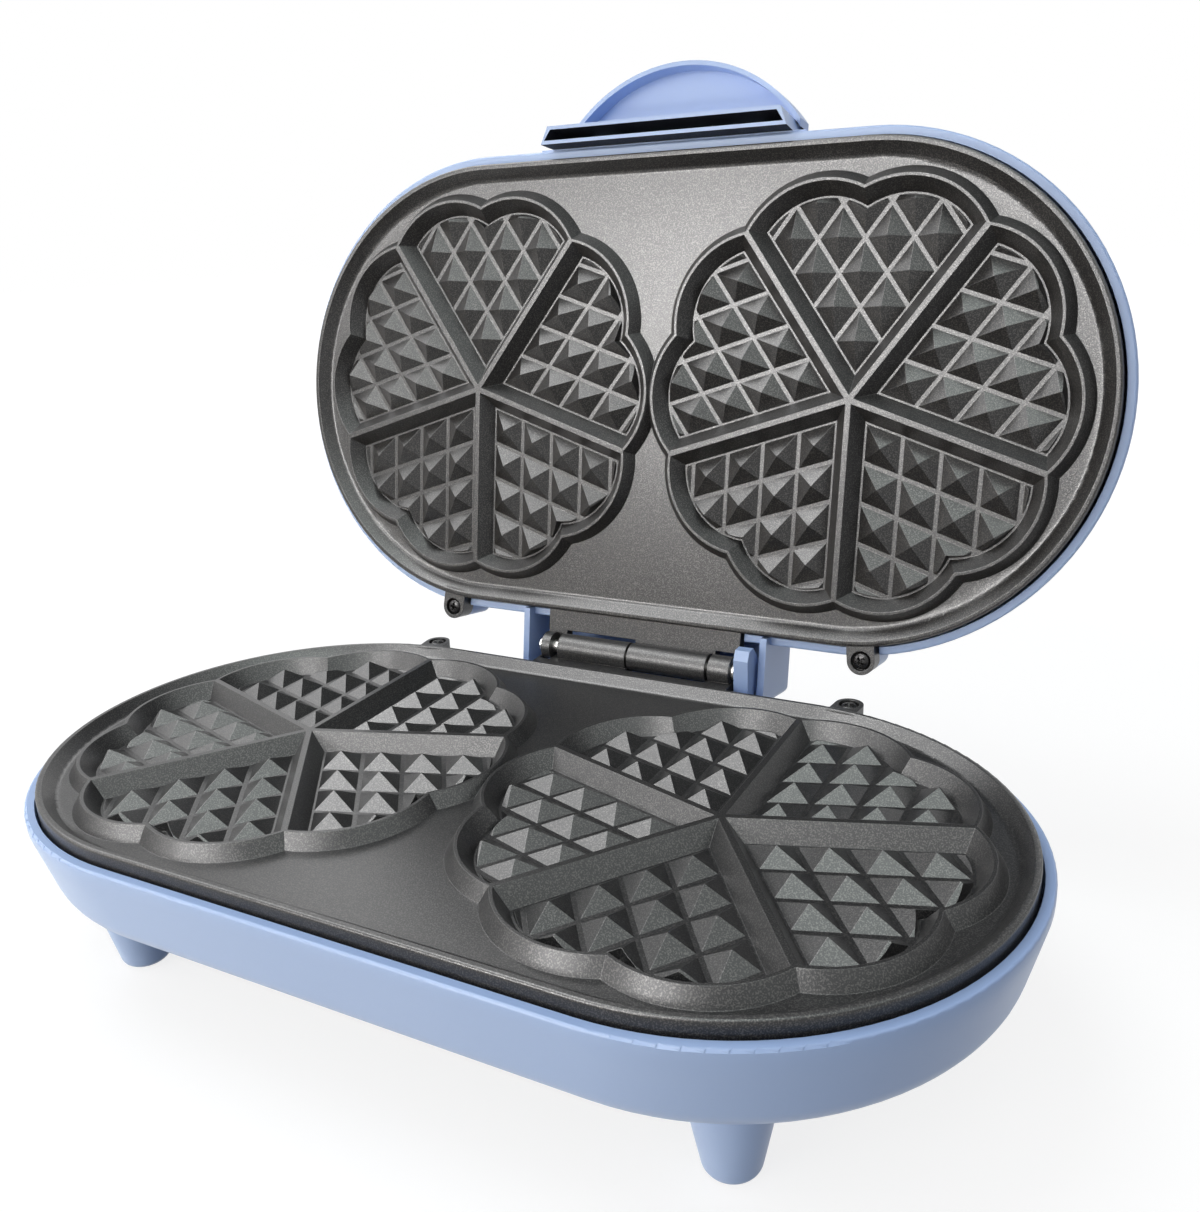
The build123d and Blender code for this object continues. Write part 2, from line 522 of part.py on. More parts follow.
def thermal_fuse(face):
    """A round one-shot cut-out under its strap on the plate's underside."""
    with BuildPart() as fuse:
        with Locations(along_hinge(face, -FUSE_LENGTH / 2, FUSE_Y, -PLATE_DEPTH - FUSE_RADIUS)):
            Cylinder(FUSE_RADIUS, FUSE_LENGTH, align=STANDING)
    return fuse.part


def terminal_block(face, depth):
    """The block on the shell's floor, over two pegs."""
    height = depth - FLOOR_WALL - BLOCK_DEPTH
    with BuildPart() as block:
        with Locations(level(face, 0, BLOCK_Y, -BLOCK_DEPTH)):
            Box(*BLOCK_SIZE, height, align=HANGING)
        with places(face, [(-PEG_X, BLOCK_Y), (PEG_X, BLOCK_Y)], -BLOCK_DEPTH):
            Cylinder(STUD_RADIUS, height, align=HANGING, mode=Mode.SUBTRACT)
    return block.part


def lead(face, *route):
    """An insulated lead along straight runs with small bends."""
    with BuildPart() as wire:
        with BuildLine() as path:
            FilletPolyline(*[face.from_local_coords(Vector(*spot)) for spot in route], radius=LEAD_BEND)
        with BuildSketch(Plane(path.line @ 0, z_dir=path.line % 0)):
            Circle(LEAD_RADIUS)
        sweep()
    return wire.part


def element_leads(face):
    """From the heater's pins, one by way of the fuse, to the top of the terminal block."""
    pin = HEATER_STOP - END_LENGTH
    high = -PLATE_DEPTH - TUBE_RADIUS
    fuse = -PLATE_DEPTH - FUSE_RADIUS
    low = -BLOCK_DEPTH
    edge = BLOCK_SIZE[0] / 2 - 2 * LEAD_RADIUS
    row = BLOCK_SIZE[1] / 4
    return [lead(face, (-HEATER_END, pin, high), (-HEATER_END, pin - LEAD_START, high),
                 (-HEATER_END, FUSE_Y, fuse), (-FUSE_LENGTH / 2, FUSE_Y, fuse)),
            lead(face, (FUSE_LENGTH / 2, FUSE_Y, fuse), (edge, FUSE_Y, fuse),
                 (edge, BLOCK_Y - row, low + LEAD_START), (edge, BLOCK_Y - row, low)),
            lead(face, (HEATER_END, pin, high), (HEATER_END, pin - LEAD_START, high),
                 (edge, BLOCK_Y + row, low + LEAD_START), (edge, BLOCK_Y + row, low))]


# Lower half
with BuildPart() as cradle:
    with Locations(level(base_face, 0, CRADLE_Y, -CRADLE_TOP)):
        Box(2 * CRADLE_HALF, CRADLE_Y - PLATE_EDGE + FLOOR_WALL, CRADLE_BOTTOM - CRADLE_TOP,
            align=(Align.CENTER, Align.MAX, Align.MAX))
    fillet(cradle.faces().sort_by(Axis.Y)[-1].edges().sort_by(Axis.Z)[:3], CRADLE_ROUND)
    with BuildSketch(along_hinge(base_face, PIN_HALF + DUCT_GAP, HINGE_Y, HINGE_Z)):
        Polygon(*DUCT_PROFILE, align=None)
    extrude(amount=CRADLE_HALF - PIN_HALF - 2 * DUCT_GAP)

with BuildPart() as base_shell:
    add(moulded_shell(base_face, BASE_DEPTH, BASE_ROUND, cradle.part))
    with Locations(level(base_face, 0, CRADLE_Y - FLOOR_WALL, -CRADLE_TOP - FLOOR_WALL)):
        Box(2 * (CRADLE_HALF - FLOOR_WALL), CRADLE_Y - PLATE_EDGE + FLOOR_WALL,
            CRADLE_BOTTOM - CRADLE_TOP - 2 * FLOOR_WALL,
            align=(Align.CENTER, Align.MAX, Align.MAX), mode=Mode.SUBTRACT)
    with Locations(facing_rear(base_face, GLAND_X, CRADLE_Y, -GLAND_DEPTH)):
        Cylinder(GLAND_NECK, FLOOR_WALL, align=HANGING, mode=Mode.SUBTRACT)
    with Locations(*[level(base_face, x, y, -depth) for x, y, depth in LEG_SEATS]):
        Cylinder(SCREW_RADIUS + SCREW_PLAY, FLOOR_WALL, align=STANDING, mode=Mode.SUBTRACT)


def leg(x, y):
    """A tapered leg whose head follows the base's rounded edge, with a recess for its pad."""
    rate = (LEG_TOP_RADIUS - LEG_END_RADIUS) / (LEG_HEIGHT - PAD_PROUD)
    reach = LEG_REACH if y < 0 else BASE_DEPTH - CRADLE_BOTTOM
    height = LEG_HEIGHT - PAD_PROUD + reach
    with BuildPart() as body:
        with Locations(level(base_face, x, y, PAD_PROUD - RIDGE_HEIGHT)):
            Cone(LEG_END_RADIUS, LEG_END_RADIUS + rate * height, height, align=STANDING)
        fillet(body.faces().sort_by(Axis.Z)[0].edges(), LEG_END_ROUND)
        with Locations(level(base_face, x, y, PAD_PROUD - RIDGE_HEIGHT)):
            Cylinder(PAD_RADIUS, PAD_THICKNESS - PAD_PROUD, align=STANDING, mode=Mode.SUBTRACT)
        add(bowl(base_face, SHELL_HALF, BASE_DEPTH, BASE_ROUND, 0), mode=Mode.SUBTRACT)
        with Locations(*[level(base_face, *seat[:2], -seat[2]) for seat in LEG_SEATS]):
            Cylinder(SCREW_RADIUS, THREAD_LENGTH + 1, align=HANGING, mode=Mode.SUBTRACT)
    return body.part


with BuildPart() as foot_pads:
    with places(base_face, LEGS.values(), -RIDGE_HEIGHT):
        Cylinder(PAD_RADIUS, PAD_THICKNESS, align=STANDING)

with BuildPart() as thermostat:
    with Locations(level(base_face, z=-PLATE_DEPTH)):
        Box(*THERMOSTAT_FLANGE, align=HANGING)
        Cylinder(THERMOSTAT_RADIUS, THERMOSTAT_DEPTH - PLATE_DEPTH, align=HANGING)
    with places(base_face, [(-FLANGE_STUD, 0), (FLANGE_STUD, 0)], -PLATE_DEPTH):
        Cylinder(STUD_RADIUS, THERMOSTAT_FLANGE[2], align=HANGING, mode=Mode.SUBTRACT)
    with places(base_face, [(-BLADE_X, 0), (BLADE_X, 0)], -THERMOSTAT_DEPTH):
        Box(*BLADE, align=HANGING)

with BuildPart() as cord_gland:
    with Locations(facing_rear(base_face, GLAND_X, CRADLE_Y, -GLAND_DEPTH)):
        Cylinder(GLAND_NECK, FLOOR_WALL, align=HANGING)
        Cone(GLAND_RADIUS, GLAND_TAIL, GLAND_LENGTH, align=STANDING)
    with Locations(facing_rear(base_face, GLAND_X, CRADLE_Y - FLOOR_WALL, -GLAND_DEPTH)):
        Cylinder(GLAND_RADIUS, GLAND_LIP, align=HANGING)
    with Locations(facing_rear(base_face, GLAND_X, CRADLE_Y + GLAND_LENGTH, -GLAND_DEPTH)):
        Cylinder(GLAND_BORE, GLAND_LENGTH + FLOOR_WALL + GLAND_LIP, align=HANGING, mode=Mode.SUBTRACT)

with BuildPart() as hinge_pin:
    with Locations(along_hinge(base_face, 0, HINGE_Y, HINGE_Z)):
        Cylinder(PIN_RADIUS, 2 * PIN_HALF)
    for side in (-1, 1):
        with Locations(along_hinge(base_face, side * CLIP_PLACE, HINGE_Y, HINGE_Z)):
            Cylinder(PIN_RADIUS, CLIP_THICKNESS, mode=Mode.SUBTRACT)
            Cylinder(PIN_NECK, CLIP_THICKNESS)

with BuildPart() as pin_clips:
    for side in (-1, 1):
        with BuildSketch(along_hinge(base_face, side * CLIP_PLACE, HINGE_Y, HINGE_Z)):
            Circle(CLIP_RADIUS)
            Circle(PIN_NECK, mode=Mode.SUBTRACT)
            Rectangle(CLIP_RADIUS, CLIP_MOUTH, align=(Align.MIN, Align.CENTER), mode=Mode.SUBTRACT)
        extrude(amount=CLIP_THICKNESS / 2, both=True)

thermostat_leads = [lead(base_face, (x, 0, -THERMOSTAT_DEPTH - BLADE[2]), (x, 0, -LEAD_DEPTH),
                         (x, BLOCK_Y, -LEAD_DEPTH), (x, BLOCK_Y, -BLOCK_DEPTH))
                    for x in (-BLADE_X, BLADE_X)]

# Upper half
with BuildPart() as housing:
    with Locations(level(lid_face, 0, HOUSING_Y, -HOUSING_FRONT)):
        Box(2 * HOUSING_HALF, HOUSING_Y - PLATE_EDGE, HOUSING_BACK - HOUSING_FRONT,
            align=(Align.CENTER, Align.MAX, Align.MAX))
    rear = housing.faces().sort_by(Axis(lid_face.origin, lid_face.y_dir))[-1]
    fillet(rear.edges().sort_by(outward(lid_face))[:3], HOUSING_ROUND)
    with Locations(level(lid_face, 0, HOUSING_Y - HOUSING_WALL, -HOUSING_FRONT)):
        Box(2 * (HOUSING_HALF - HOUSING_WALL), HOUSING_Y - HOUSING_WALL - PLATE_EDGE,
            HOUSING_BACK - HOUSING_FRONT - HOUSING_WALL,
            align=(Align.CENTER, Align.MAX, Align.MAX), mode=Mode.SUBTRACT)
    with Locations(level(lid_face, 0, -GRIP_SEAT_Y, -SEAT_FRONT)):
        Box(2 * SEAT_HALF, SEAT_Y - GRIP_SEAT_Y, SEAT_BACK - SEAT_FRONT,
            align=(Align.CENTER, Align.MAX, Align.MAX))

with BuildPart() as lid_shell:
    add(moulded_shell(lid_face, LID_DEPTH, LID_ROUND, housing.part))
    with Locations(facing_rear(lid_face, 0, HOUSING_Y - HOUSING_WALL, -LOOM_DEPTH)):
        Cylinder(LOOM_HOLE, HOUSING_Y - PLATE_HALF, align=HANGING, mode=Mode.SUBTRACT)
    # Seats inside for the grip's screws
    for side in (-1, 1):
        with Locations(level(lid_face, side * GRIP_SCREW_X, -GRIP_SEAT_Y, -GRIP_SCREW_DEPTH)):
            Box(GRIP_BOSS[0], PLATE_EDGE - GRIP_SEAT_Y, GRIP_BOSS[1],
                align=(Align.CENTER, Align.MAX, Align.CENTER))
        with Locations(facing_rear(lid_face, side * GRIP_SCREW_X, -GRIP_SEAT_Y, -GRIP_SCREW_DEPTH)):
            Cylinder(SCREW_RADIUS + SCREW_PLAY, SEAT_Y - GRIP_SEAT_Y, align=HANGING, mode=Mode.SUBTRACT)
    with places(lid_face, [(-LENS_X, LENS_Y), (LENS_X, LENS_Y)], -LID_DEPTH):
        Cylinder(LENS_RADIUS, FLOOR_WALL, align=STANDING, mode=Mode.SUBTRACT)


def grip_section(z, half, inset):
    """The grip's outline at one depth: long side on the lid's pad, short side outwards."""
    near = -SEAT_Y - inset
    far = -SEAT_Y - GRIP_THICKNESS + inset
    with BuildSketch(level(lid_face, z=z)) as outline:
        Polygon((-half + inset, near), (half - inset, near), (half - GRIP_CHAMFER - inset, far),
                (-half + GRIP_CHAMFER + inset, far), align=None)
    return outline.sketch


with BuildPart() as handle:
    loft([grip_section(-GRIP_ROOT, GRIP_HALF_ROOT, 0),
          grip_section(GRIP_MOUTH, GRIP_HALF_MOUTH, 0)], ruled=True)
    # Half-moon finger flange across the grip's root, with a raised rim
    centre = FLANGE_RADIUS - FLANGE_REACH
    for inner, top in ((0, 0), (FLANGE_RADIUS - FLANGE_RIM_WIDTH, FLANGE_RIM)):
        with BuildSketch(level(lid_face, z=-GRIP_ROOT - FLANGE_THICKNESS)):
            with Locations((0, centre)):
                Circle(FLANGE_RADIUS)
            with Locations((0, -SEAT_Y)):
                Rectangle(2 * GRIP_HALF_ROOT, FLANGE_REACH, align=(Align.CENTER, Align.MAX),
                          mode=Mode.INTERSECT)
            if inner:
                with Locations((0, centre)):
                    Circle(inner, mode=Mode.SUBTRACT)
        extrude(amount=FLANGE_THICKNESS + top)
    loft([grip_section(-GRIP_ROOT + GRIP_WALL, GRIP_HALF_ROOT, GRIP_WALL),
          grip_section(GRIP_MOUTH, GRIP_HALF_MOUTH, GRIP_WALL)], ruled=True, mode=Mode.SUBTRACT)
    for side in (-1, 1):
        with Locations(level(lid_face, side * GRIP_SCREW_X, -SEAT_Y, -GRIP_ROOT)):
            Box(GRIP_BOSS[0], GRIP_THICKNESS, GRIP_ROOT - GRIP_SCREW_DEPTH + GRIP_BOSS[1] / 2,
                align=(Align.CENTER, Align.MAX, Align.MIN))
        with Locations(facing_rear(lid_face, side * GRIP_SCREW_X, -SEAT_Y, -GRIP_SCREW_DEPTH)):
            Cylinder(SCREW_RADIUS, GRIP_BITE, align=HANGING, mode=Mode.SUBTRACT)

with BuildPart() as indicator_lenses:
    for side in (-1, 1):
        with Locations(level(lid_face, side * LENS_X, LENS_Y, -LID_DEPTH)):
            Cylinder(LENS_RADIUS, FLOOR_WALL, align=STANDING)
            Cylinder(LENS_FLANGE, LENS_PROUD, align=HANGING)

with BuildPart() as indicator_lamps:
    with places(lid_face, [(-LENS_X, LENS_Y), (LENS_X, LENS_Y)], -LAMP_DEPTH):
        Cylinder(LAMP_RADIUS, LID_DEPTH - FLOOR_WALL - LAMP_DEPTH, align=HANGING)

lamp_leads = [lead(lid_face, (side * LENS_X, LENS_Y, -LAMP_DEPTH), (side * LENS_X, LENS_Y, -LEAD_DEPTH),
                   (side * BLADE_X, BLOCK_Y, -LEAD_DEPTH), (side * BLADE_X, BLOCK_Y, -BLOCK_DEPTH))
              for side in (-1, 1)]
seats = [level(lid_face, side * GRIP_SCREW_X, -GRIP_SEAT_Y, -GRIP_SCREW_DEPTH) for side in (-1, 1)]
grip_screws = [screw(Plane(seat.origin, x_dir=seat.x_dir, z_dir=lid_face.y_dir),
                     SEAT_Y - GRIP_SEAT_Y + GRIP_BITE - 0.5) for seat in seats]
leg_screws = [screw(level(base_face, x, y, FLOOR_WALL - depth), FLOOR_WALL + THREAD_LENGTH)
              for x, y, depth in LEG_SEATS]

pieces = {
    "base_shell": [base_shell.part],
    **{name: [leg(x, y)] for name, (x, y) in LEGS.items()},
    "foot_pads": [foot_pads.part],
    "leg_screws": leg_screws,
    "lower_plate": [cast_plate(base_face, LOWER_BARRELS, UPPER_BARRELS, 0)],
    "lower_plate_screws": plate_screws(base_face),
    "lower_fixing_screws": fixing_screws(base_face, BASE_DEPTH),
    "lower_heating_element": [heating_element(base_face)],
    "lower_element_ends": [element_ends(base_face)],
    "lower_element_clips": element_clips(base_face),
    "lower_reflector": [reflector(base_face)],
    "thermostat": [thermostat.part],
    "lower_thermal_fuse": [thermal_fuse(base_face)],
    "lower_terminal_block": [terminal_block(base_face, BASE_DEPTH)],
    "lower_leads": element_leads(base_face) + thermostat_leads,
    "cord_gland": [cord_gland.part],
    "hinge_pin": [hinge_pin.part],
    "pin_clips": [pin_clips.part],
    "lid_shell": [lid_shell.part],
    "handle": [handle.part],
    "handle_screws": grip_screws,
    "upper_plate": [cast_plate(lid_face, UPPER_BARRELS, LOWER_BARRELS, PIN_PLAY)],
    "upper_plate_screws": plate_screws(lid_face),
    "upper_fixing_screws": fixing_screws(lid_face, LID_DEPTH),
    "upper_heating_element": [heating_element(lid_face)],
    "upper_element_ends": [element_ends(lid_face)],
    "upper_element_clips": element_clips(lid_face),
    "upper_reflector": [reflector(lid_face)],
    "upper_thermal_fuse": [thermal_fuse(lid_face)],
    "upper_terminal_block": [terminal_block(lid_face, LID_DEPTH)],
    "upper_leads": element_leads(lid_face) + lamp_leads,
    "indicator_lenses": [indicator_lenses.part],
    "indicator_lamps": [indicator_lamps.part],
}
os.makedirs("parts", exist_ok=True)
for name, solids in pieces.items():
    with BuildPart() as piece:
        add(solids)
    piece.part.label = name
    export_step(piece.part, f"parts/{name}.step")
    print(name, len(piece.solids()), round(piece.part.volume))
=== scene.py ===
# %% [markdown]
# # A double waffle iron, standing open
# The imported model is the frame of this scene: its nodes already have their real places and sizes.
# Each step below gives one part of the iron its finish, or swaps a node for a finer piece of the
# same shape. Blender works in metres here, and so does every value that isn't named in millimetres.

# %% Load the frame
import json
from math import cos, pi, radians, sin, sqrt
import bmesh
import bpy
from mathutils import Matrix, Vector
from mathutils.bvhtree import BVHTree

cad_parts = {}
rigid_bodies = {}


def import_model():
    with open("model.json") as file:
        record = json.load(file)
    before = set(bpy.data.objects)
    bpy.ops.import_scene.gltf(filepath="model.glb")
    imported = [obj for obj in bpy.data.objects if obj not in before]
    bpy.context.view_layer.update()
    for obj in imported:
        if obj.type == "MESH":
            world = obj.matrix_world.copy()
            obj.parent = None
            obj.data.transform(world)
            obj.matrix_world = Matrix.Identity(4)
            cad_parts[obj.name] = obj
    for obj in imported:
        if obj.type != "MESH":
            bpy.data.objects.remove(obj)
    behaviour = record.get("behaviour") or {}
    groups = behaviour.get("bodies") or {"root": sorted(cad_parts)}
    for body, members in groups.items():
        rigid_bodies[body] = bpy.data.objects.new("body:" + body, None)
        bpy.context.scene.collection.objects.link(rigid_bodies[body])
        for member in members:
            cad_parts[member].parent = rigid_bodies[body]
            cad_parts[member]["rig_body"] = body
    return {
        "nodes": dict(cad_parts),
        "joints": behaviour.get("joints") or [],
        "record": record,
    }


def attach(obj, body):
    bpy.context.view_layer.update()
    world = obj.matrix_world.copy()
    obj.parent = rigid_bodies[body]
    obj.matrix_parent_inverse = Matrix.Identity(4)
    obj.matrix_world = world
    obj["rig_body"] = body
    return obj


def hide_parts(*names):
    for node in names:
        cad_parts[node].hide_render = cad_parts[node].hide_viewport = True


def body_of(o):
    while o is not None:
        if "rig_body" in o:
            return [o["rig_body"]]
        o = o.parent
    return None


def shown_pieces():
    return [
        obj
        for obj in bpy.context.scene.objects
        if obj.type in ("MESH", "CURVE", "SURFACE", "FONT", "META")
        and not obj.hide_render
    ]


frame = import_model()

scene = bpy.context.scene
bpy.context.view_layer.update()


def link_new(name, data):
    """A new object in the scene."""
    item = bpy.data.objects.new(name, data)
    scene.collection.objects.link(item)
    return item


# %% [markdown]
# ## The camera
# The camera was found by fitting the outlines of the two plates to the photograph. Its place is
# written from the middle of the lower plate, at the height of the ridges' tops, in millimetres.
# The hinge is the one place that the frame tells us, so the plate's middle is worked out from it.

# %% Camera at the photograph's viewpoint
MM = 0.001
HINGE_Y = 101.1                             # plate's middle back to the hinge's axis
HINGE_Z = 0.4                               # and up to it
CAMERA_PLACE = (184.55, -260.44, 159.93)    # plate's middle to the camera
AZIMUTH, ELEVATION, ROLL = radians(28.15), radians(19.65), radians(-2.64)
PICTURE = (1200, 1212)
FOCAL_PX = 1112.18
CENTRE_PX = (614.39, 623.17)                # where the camera's axis meets the picture
SENSOR = 36
hinge = Vector(frame["joints"][0]["pos_m"])
middle = hinge - Vector((0, HINGE_Y, HINGE_Z)) * MM
back = Vector((sin(AZIMUTH) * cos(ELEVATION), -cos(AZIMUTH) * cos(ELEVATION), sin(ELEVATION)))
level_right = Vector((cos(AZIMUTH), sin(AZIMUTH), 0))
level_up = back.cross(level_right)
right = cos(ROLL) * level_right + sin(ROLL) * level_up
up = back.cross(right)
camera_data = bpy.data.cameras.new("camera")
camera = link_new("camera", camera_data)
camera.matrix_world = Matrix((
    (right.x, up.x, back.x, 0), (right.y, up.y, back.y, 0), (right.z, up.z, back.z, 0), (0, 0, 0, 1)))
camera.location = middle + Vector(CAMERA_PLACE) * MM
camera_data.sensor_width = SENSOR
camera_data.lens = SENSOR * FOCAL_PX / max(PICTURE)
camera_data.shift_x = (PICTURE[0] / 2 - CENTRE_PX[0]) / max(PICTURE)
camera_data.shift_y = (CENTRE_PX[1] - PICTURE[1] / 2) / max(PICTURE)
camera_data.clip_start = 0.01
scene.camera = camera
print("camera", tuple(round(v, 4) for v in camera.location), "lens", round(camera_data.lens, 2))

# %% [markdown]
# ## Shader maths as plain expressions
# A finish is easier to read as arithmetic than as a list of nodes. The class below wraps one
# socket: adding or multiplying two of them adds the Math node that does it.

# %% A socket that can be calculated with
class Wire:
    """One output socket of a node tree, with operators that add Math nodes."""

    def __init__(self, tree, socket):
        self.tree = tree
        self.socket = socket

    def node(self, kind, settings=None, values=None, out=0):
        """Adds a node, sets its settings, then its sockets, and gives back one of its outputs.

        A list of wires is for a socket that takes several.
        """
        added = self.tree.nodes.new(kind)
        for name, value in (settings or {}).items():
            setattr(added, name, value)
        for name, value in (values or {}).items():
            if isinstance(value, Wire):
                value = [value]
            if isinstance(value, list):
                for wire in value:
                    self.tree.links.new(wire.socket, added.inputs[name])
            else:
                added.inputs[name].default_value = value
        return Wire(self.tree, added.outputs[out])

    def other(self, out):
        """Another output of the same node."""
        return Wire(self.tree, self.socket.node.outputs[out])

    def maths(self, operation, other=0.0):
        return self.node("ShaderNodeMath", {"operation": operation}, {0: self, 1: other})

    def __add__(self, other):
        return self.maths("ADD", other)

    def __mul__(self, other):
        return self.maths("MULTIPLY", other)

    def __sub__(self, other):
        return self.maths("SUBTRACT", other)

    def __rsub__(self, other):
        return (self * -1.0).maths("ADD", other)

    def fitted(self, low, high, to_low=0.0, to_high=1.0):
        """The value's range low to high, stretched to another range and clamped there."""
        return self.node("ShaderNodeMapRange", {}, {
            "Value": self, "From Min": low, "From Max": high, "To Min": to_low, "To Max": to_high})

    def tint(self, first, second):
        """The first colour where the value is 0 and the second where it is 1."""
        return self.node("ShaderNodeMix", {"data_type": "RGBA"}, {
            0: self, 6: first if isinstance(first, Wire) else (*first, 1),
            7: second if isinstance(second, Wire) else (*second, 1)}, out=2)


def noise(place, size, detail):
    """Cloudy noise whose blobs are about size metres across."""
    return place.node("ShaderNodeTexNoise", {}, {"Vector": place, "Scale": 1 / size, "Detail": detail})


def finish(name, make):
    """A material whose look is worked out by make(place) from the piece's own coordinates."""
    material = bpy.data.materials.new(name)
    material.use_nodes = True
    tree = material.node_tree
    shader = tree.nodes["Principled BSDF"]
    place = Wire(tree, tree.nodes.new("ShaderNodeTexCoord").outputs["Object"])
    for socket, value in make(place).items():
        if isinstance(value, Wire):
            tree.links.new(value.socket, shader.inputs[socket])
        else:
            shader.inputs[socket].default_value = value
    return material

# %% [markdown]
# ## Powder-blue moulded plastic
# The shells, legs and grip are one semi-gloss plastic. Moulded plastic is never quite even: the
# surface has a very fine orange peel, and handling leaves it a little duller in places.

# %% Blue plastic
def blue_plastic(place):
    peel = noise(place, 0.0011, 1.0)
    haze = noise(place, 0.045, 3.0)
    bump = place.node("ShaderNodeBump", {}, {"Strength": 0.06, "Distance": 0.0002, "Height": peel})
    return {"Base Color": haze.tint((0.325, 0.455, 0.745), (0.365, 0.492, 0.770)),
            "IOR": 1.32, "Roughness": haze.fitted(0.25, 0.75, 0.285, 0.375), "Normal": bump}


blue = finish("powder_blue_plastic", blue_plastic)

# %% [markdown]
# ## The non-stick casting
# The plates are cast aluminium with a sprayed and baked coating: charcoal and satin, with a grain
# like very fine sand. It could be a flat dark colour with speckles painted on, but those would look
# the same from every side. Here the grain is a bump, so that it sparkles only where a light is
# mirrored, and the bright flakes in the coating are small metal specks that do the same. A bevel in
# the normal rounds the edges of the pyramids, as a sprayed coating does, without more triangles.

# %% Non-stick coating
def nonstick(place):
    sand = noise(place, 0.00045, 1.0)
    wear = noise(place, 0.03, 3.0)
    rough = place.node("ShaderNodeAttribute", {"attribute_name": "rough"}, out="Fac")
    flakes = noise(place, 0.00040, 0.0).fitted(0.50, 0.66, 0.0, 0.50)
    shade = wear.fitted(0.3, 0.7).tint((0.0095, 0.0097, 0.0110), (0.0125, 0.0125, 0.0140))
    rounded = place.node("ShaderNodeBevel", {"samples": 8}, {"Radius": 0.00028})
    bump = place.node("ShaderNodeBump", {}, {"Strength": 1.0, "Distance": 0.000035, "Height": sand,
                                             "Normal": rounded})
    return {"Base Color": flakes.tint(shade, (0.15, 0.147, 0.143)), "Metallic": flakes, "IOR": 1.5,
            "Roughness": sand.fitted(0.3, 0.7, 0.28, 0.33) + rough * 0.08, "Normal": bump}


coating = finish("nonstick_coating", nonstick)

# %% [markdown]
# ## The plainer finishes
# Steel, rubber, mica and sheet metal differ in colour, shine and size of grain, not in kind. So one
# recipe takes those as numbers. The colour wavers a little between two tones over a wide cloud, and
# the roughness over a fine one, because drawn wire, rolled sheet and moulded rubber are never even.

# %% Plainer finishes of the small and inner pieces
DARKER = 0.82       # the darker tone, as a share of the colour
CLOUD = 30          # size of the clouds of colour, in grains
WAVER = 0.06        # how far the roughness goes up and down


def satin(colour, roughness, metal, grain, depth):
    """A finish with a fine grain: colour and roughness waver, and the surface is slightly rough."""
    def make(place):
        fine = noise(place, grain, 2.0)
        cloud = noise(place, grain * CLOUD, 2.0)
        darker = tuple(DARKER * part for part in colour)
        bump = place.node("ShaderNodeBump", {}, {"Strength": 0.3, "Distance": depth, "Height": fine})
        return {"Base Color": cloud.fitted(0.3, 0.7).tint(darker, colour), "Metallic": metal,
                "Roughness": fine.fitted(0.3, 0.7, roughness - WAVER, roughness + WAVER), "Normal": bump}
    return make


black_screw = finish("blackened_screw", satin((0.016, 0.015, 0.016), 0.28, 0.3, 0.0004, 0.00004))
bright_steel = finish("bright_steel", satin((0.60, 0.59, 0.57), 0.30, 1.0, 0.0005, 0.00005))
heater_sheath = finish("heater_sheath", satin((0.085, 0.095, 0.088), 0.55, 0.7, 0.0006, 0.0002))
rolled_sheet = finish("rolled_sheet", satin((0.78, 0.78, 0.78), 0.28, 1.0, 0.0010, 0.00005))
insulator = finish("white_insulator", satin((0.78, 0.76, 0.70), 0.55, 0.0, 0.0008, 0.0001))
sleeve = finish("fibre_sleeve", satin((0.70, 0.66, 0.56), 0.75, 0.0, 0.0003, 0.0002))
# painted shade: a near-black navy that stands in for the deep shade in the grip's hollow and under it
painted_shade_grip = finish("navy_painted_shade_grip", satin((0.010, 0.012, 0.022), 0.60, 0.0, 0.0006, 0.0001))
rubber = finish("black_rubber", satin((0.018, 0.018, 0.019), 0.70, 0.0, 0.0006, 0.0002))
lens_plastic = finish("signal_lens", satin((0.55, 0.045, 0.030), 0.16, 0.0, 0.0020, 0.00002))
lamp_glass = finish("lamp_glass", satin((0.80, 0.55, 0.38), 0.12, 0.0, 0.0020, 0.00002))

# %% [markdown]
# ## Which piece has which finish
# The record names a material slot for every node. Reading the finish from there keeps the scene and
# the model together: a new node with a known slot gets its finish without a change here.

# %% Every node's finish
finishes = {
    "blue_shell": blue, "nonstick_cast": coating, "dark_screw": black_screw, "steel": bright_steel,
    "heater_sheath": heater_sheath, "reflector_sheet": rolled_sheet, "white_insulator": insulator,
    "lead_sleeve": sleeve, "foot_rubber": rubber, "lamp_lens": lens_plastic, "lamp_glass": lamp_glass}
node_finish = {entry["node"]: finishes[entry["material_slot"]] for entry in frame["record"]["subparts"]}
for node, material in node_finish.items():
    mesh = frame["nodes"][node].data
    mesh.materials.clear()
    mesh.materials.append(material)
print("finished", len(node_finish), "nodes")

# %% [markdown]
# ## Smooth copies of the visible pieces
# A node's mesh is loose flat triangles. On the real iron the shells are moulded and the plates cast,
# so their curves run smoothly into each other and break only at real edges. Merging the points and
# shading smooth up to an angle gives that without moving a point, so the sizes stay the model's.
# Normals weighted by area keep the flat faces flat beside a small rounding.

# %% The directions of the two halves
LEAN = radians(10.3)
LID_UP = Vector((0, sin(LEAN), cos(LEAN)))
LID_OUT = Vector((0, -cos(LEAN), sin(LEAN)))
AXES = {"base": (Vector((1, 0, 0)), Vector((0, 1, 0)), Vector((0, 0, 1))),
        "lid": (Vector((1, 0, 0)), LID_UP, LID_OUT)}

# %% A smooth copy that takes a node's place
MERGE = 2e-6            # points closer than this are one
VISIBLE_SHARP = 24      # degrees between two faces that make an edge sharp
INNER_SHARP = 30
MADE_SHARP = 35


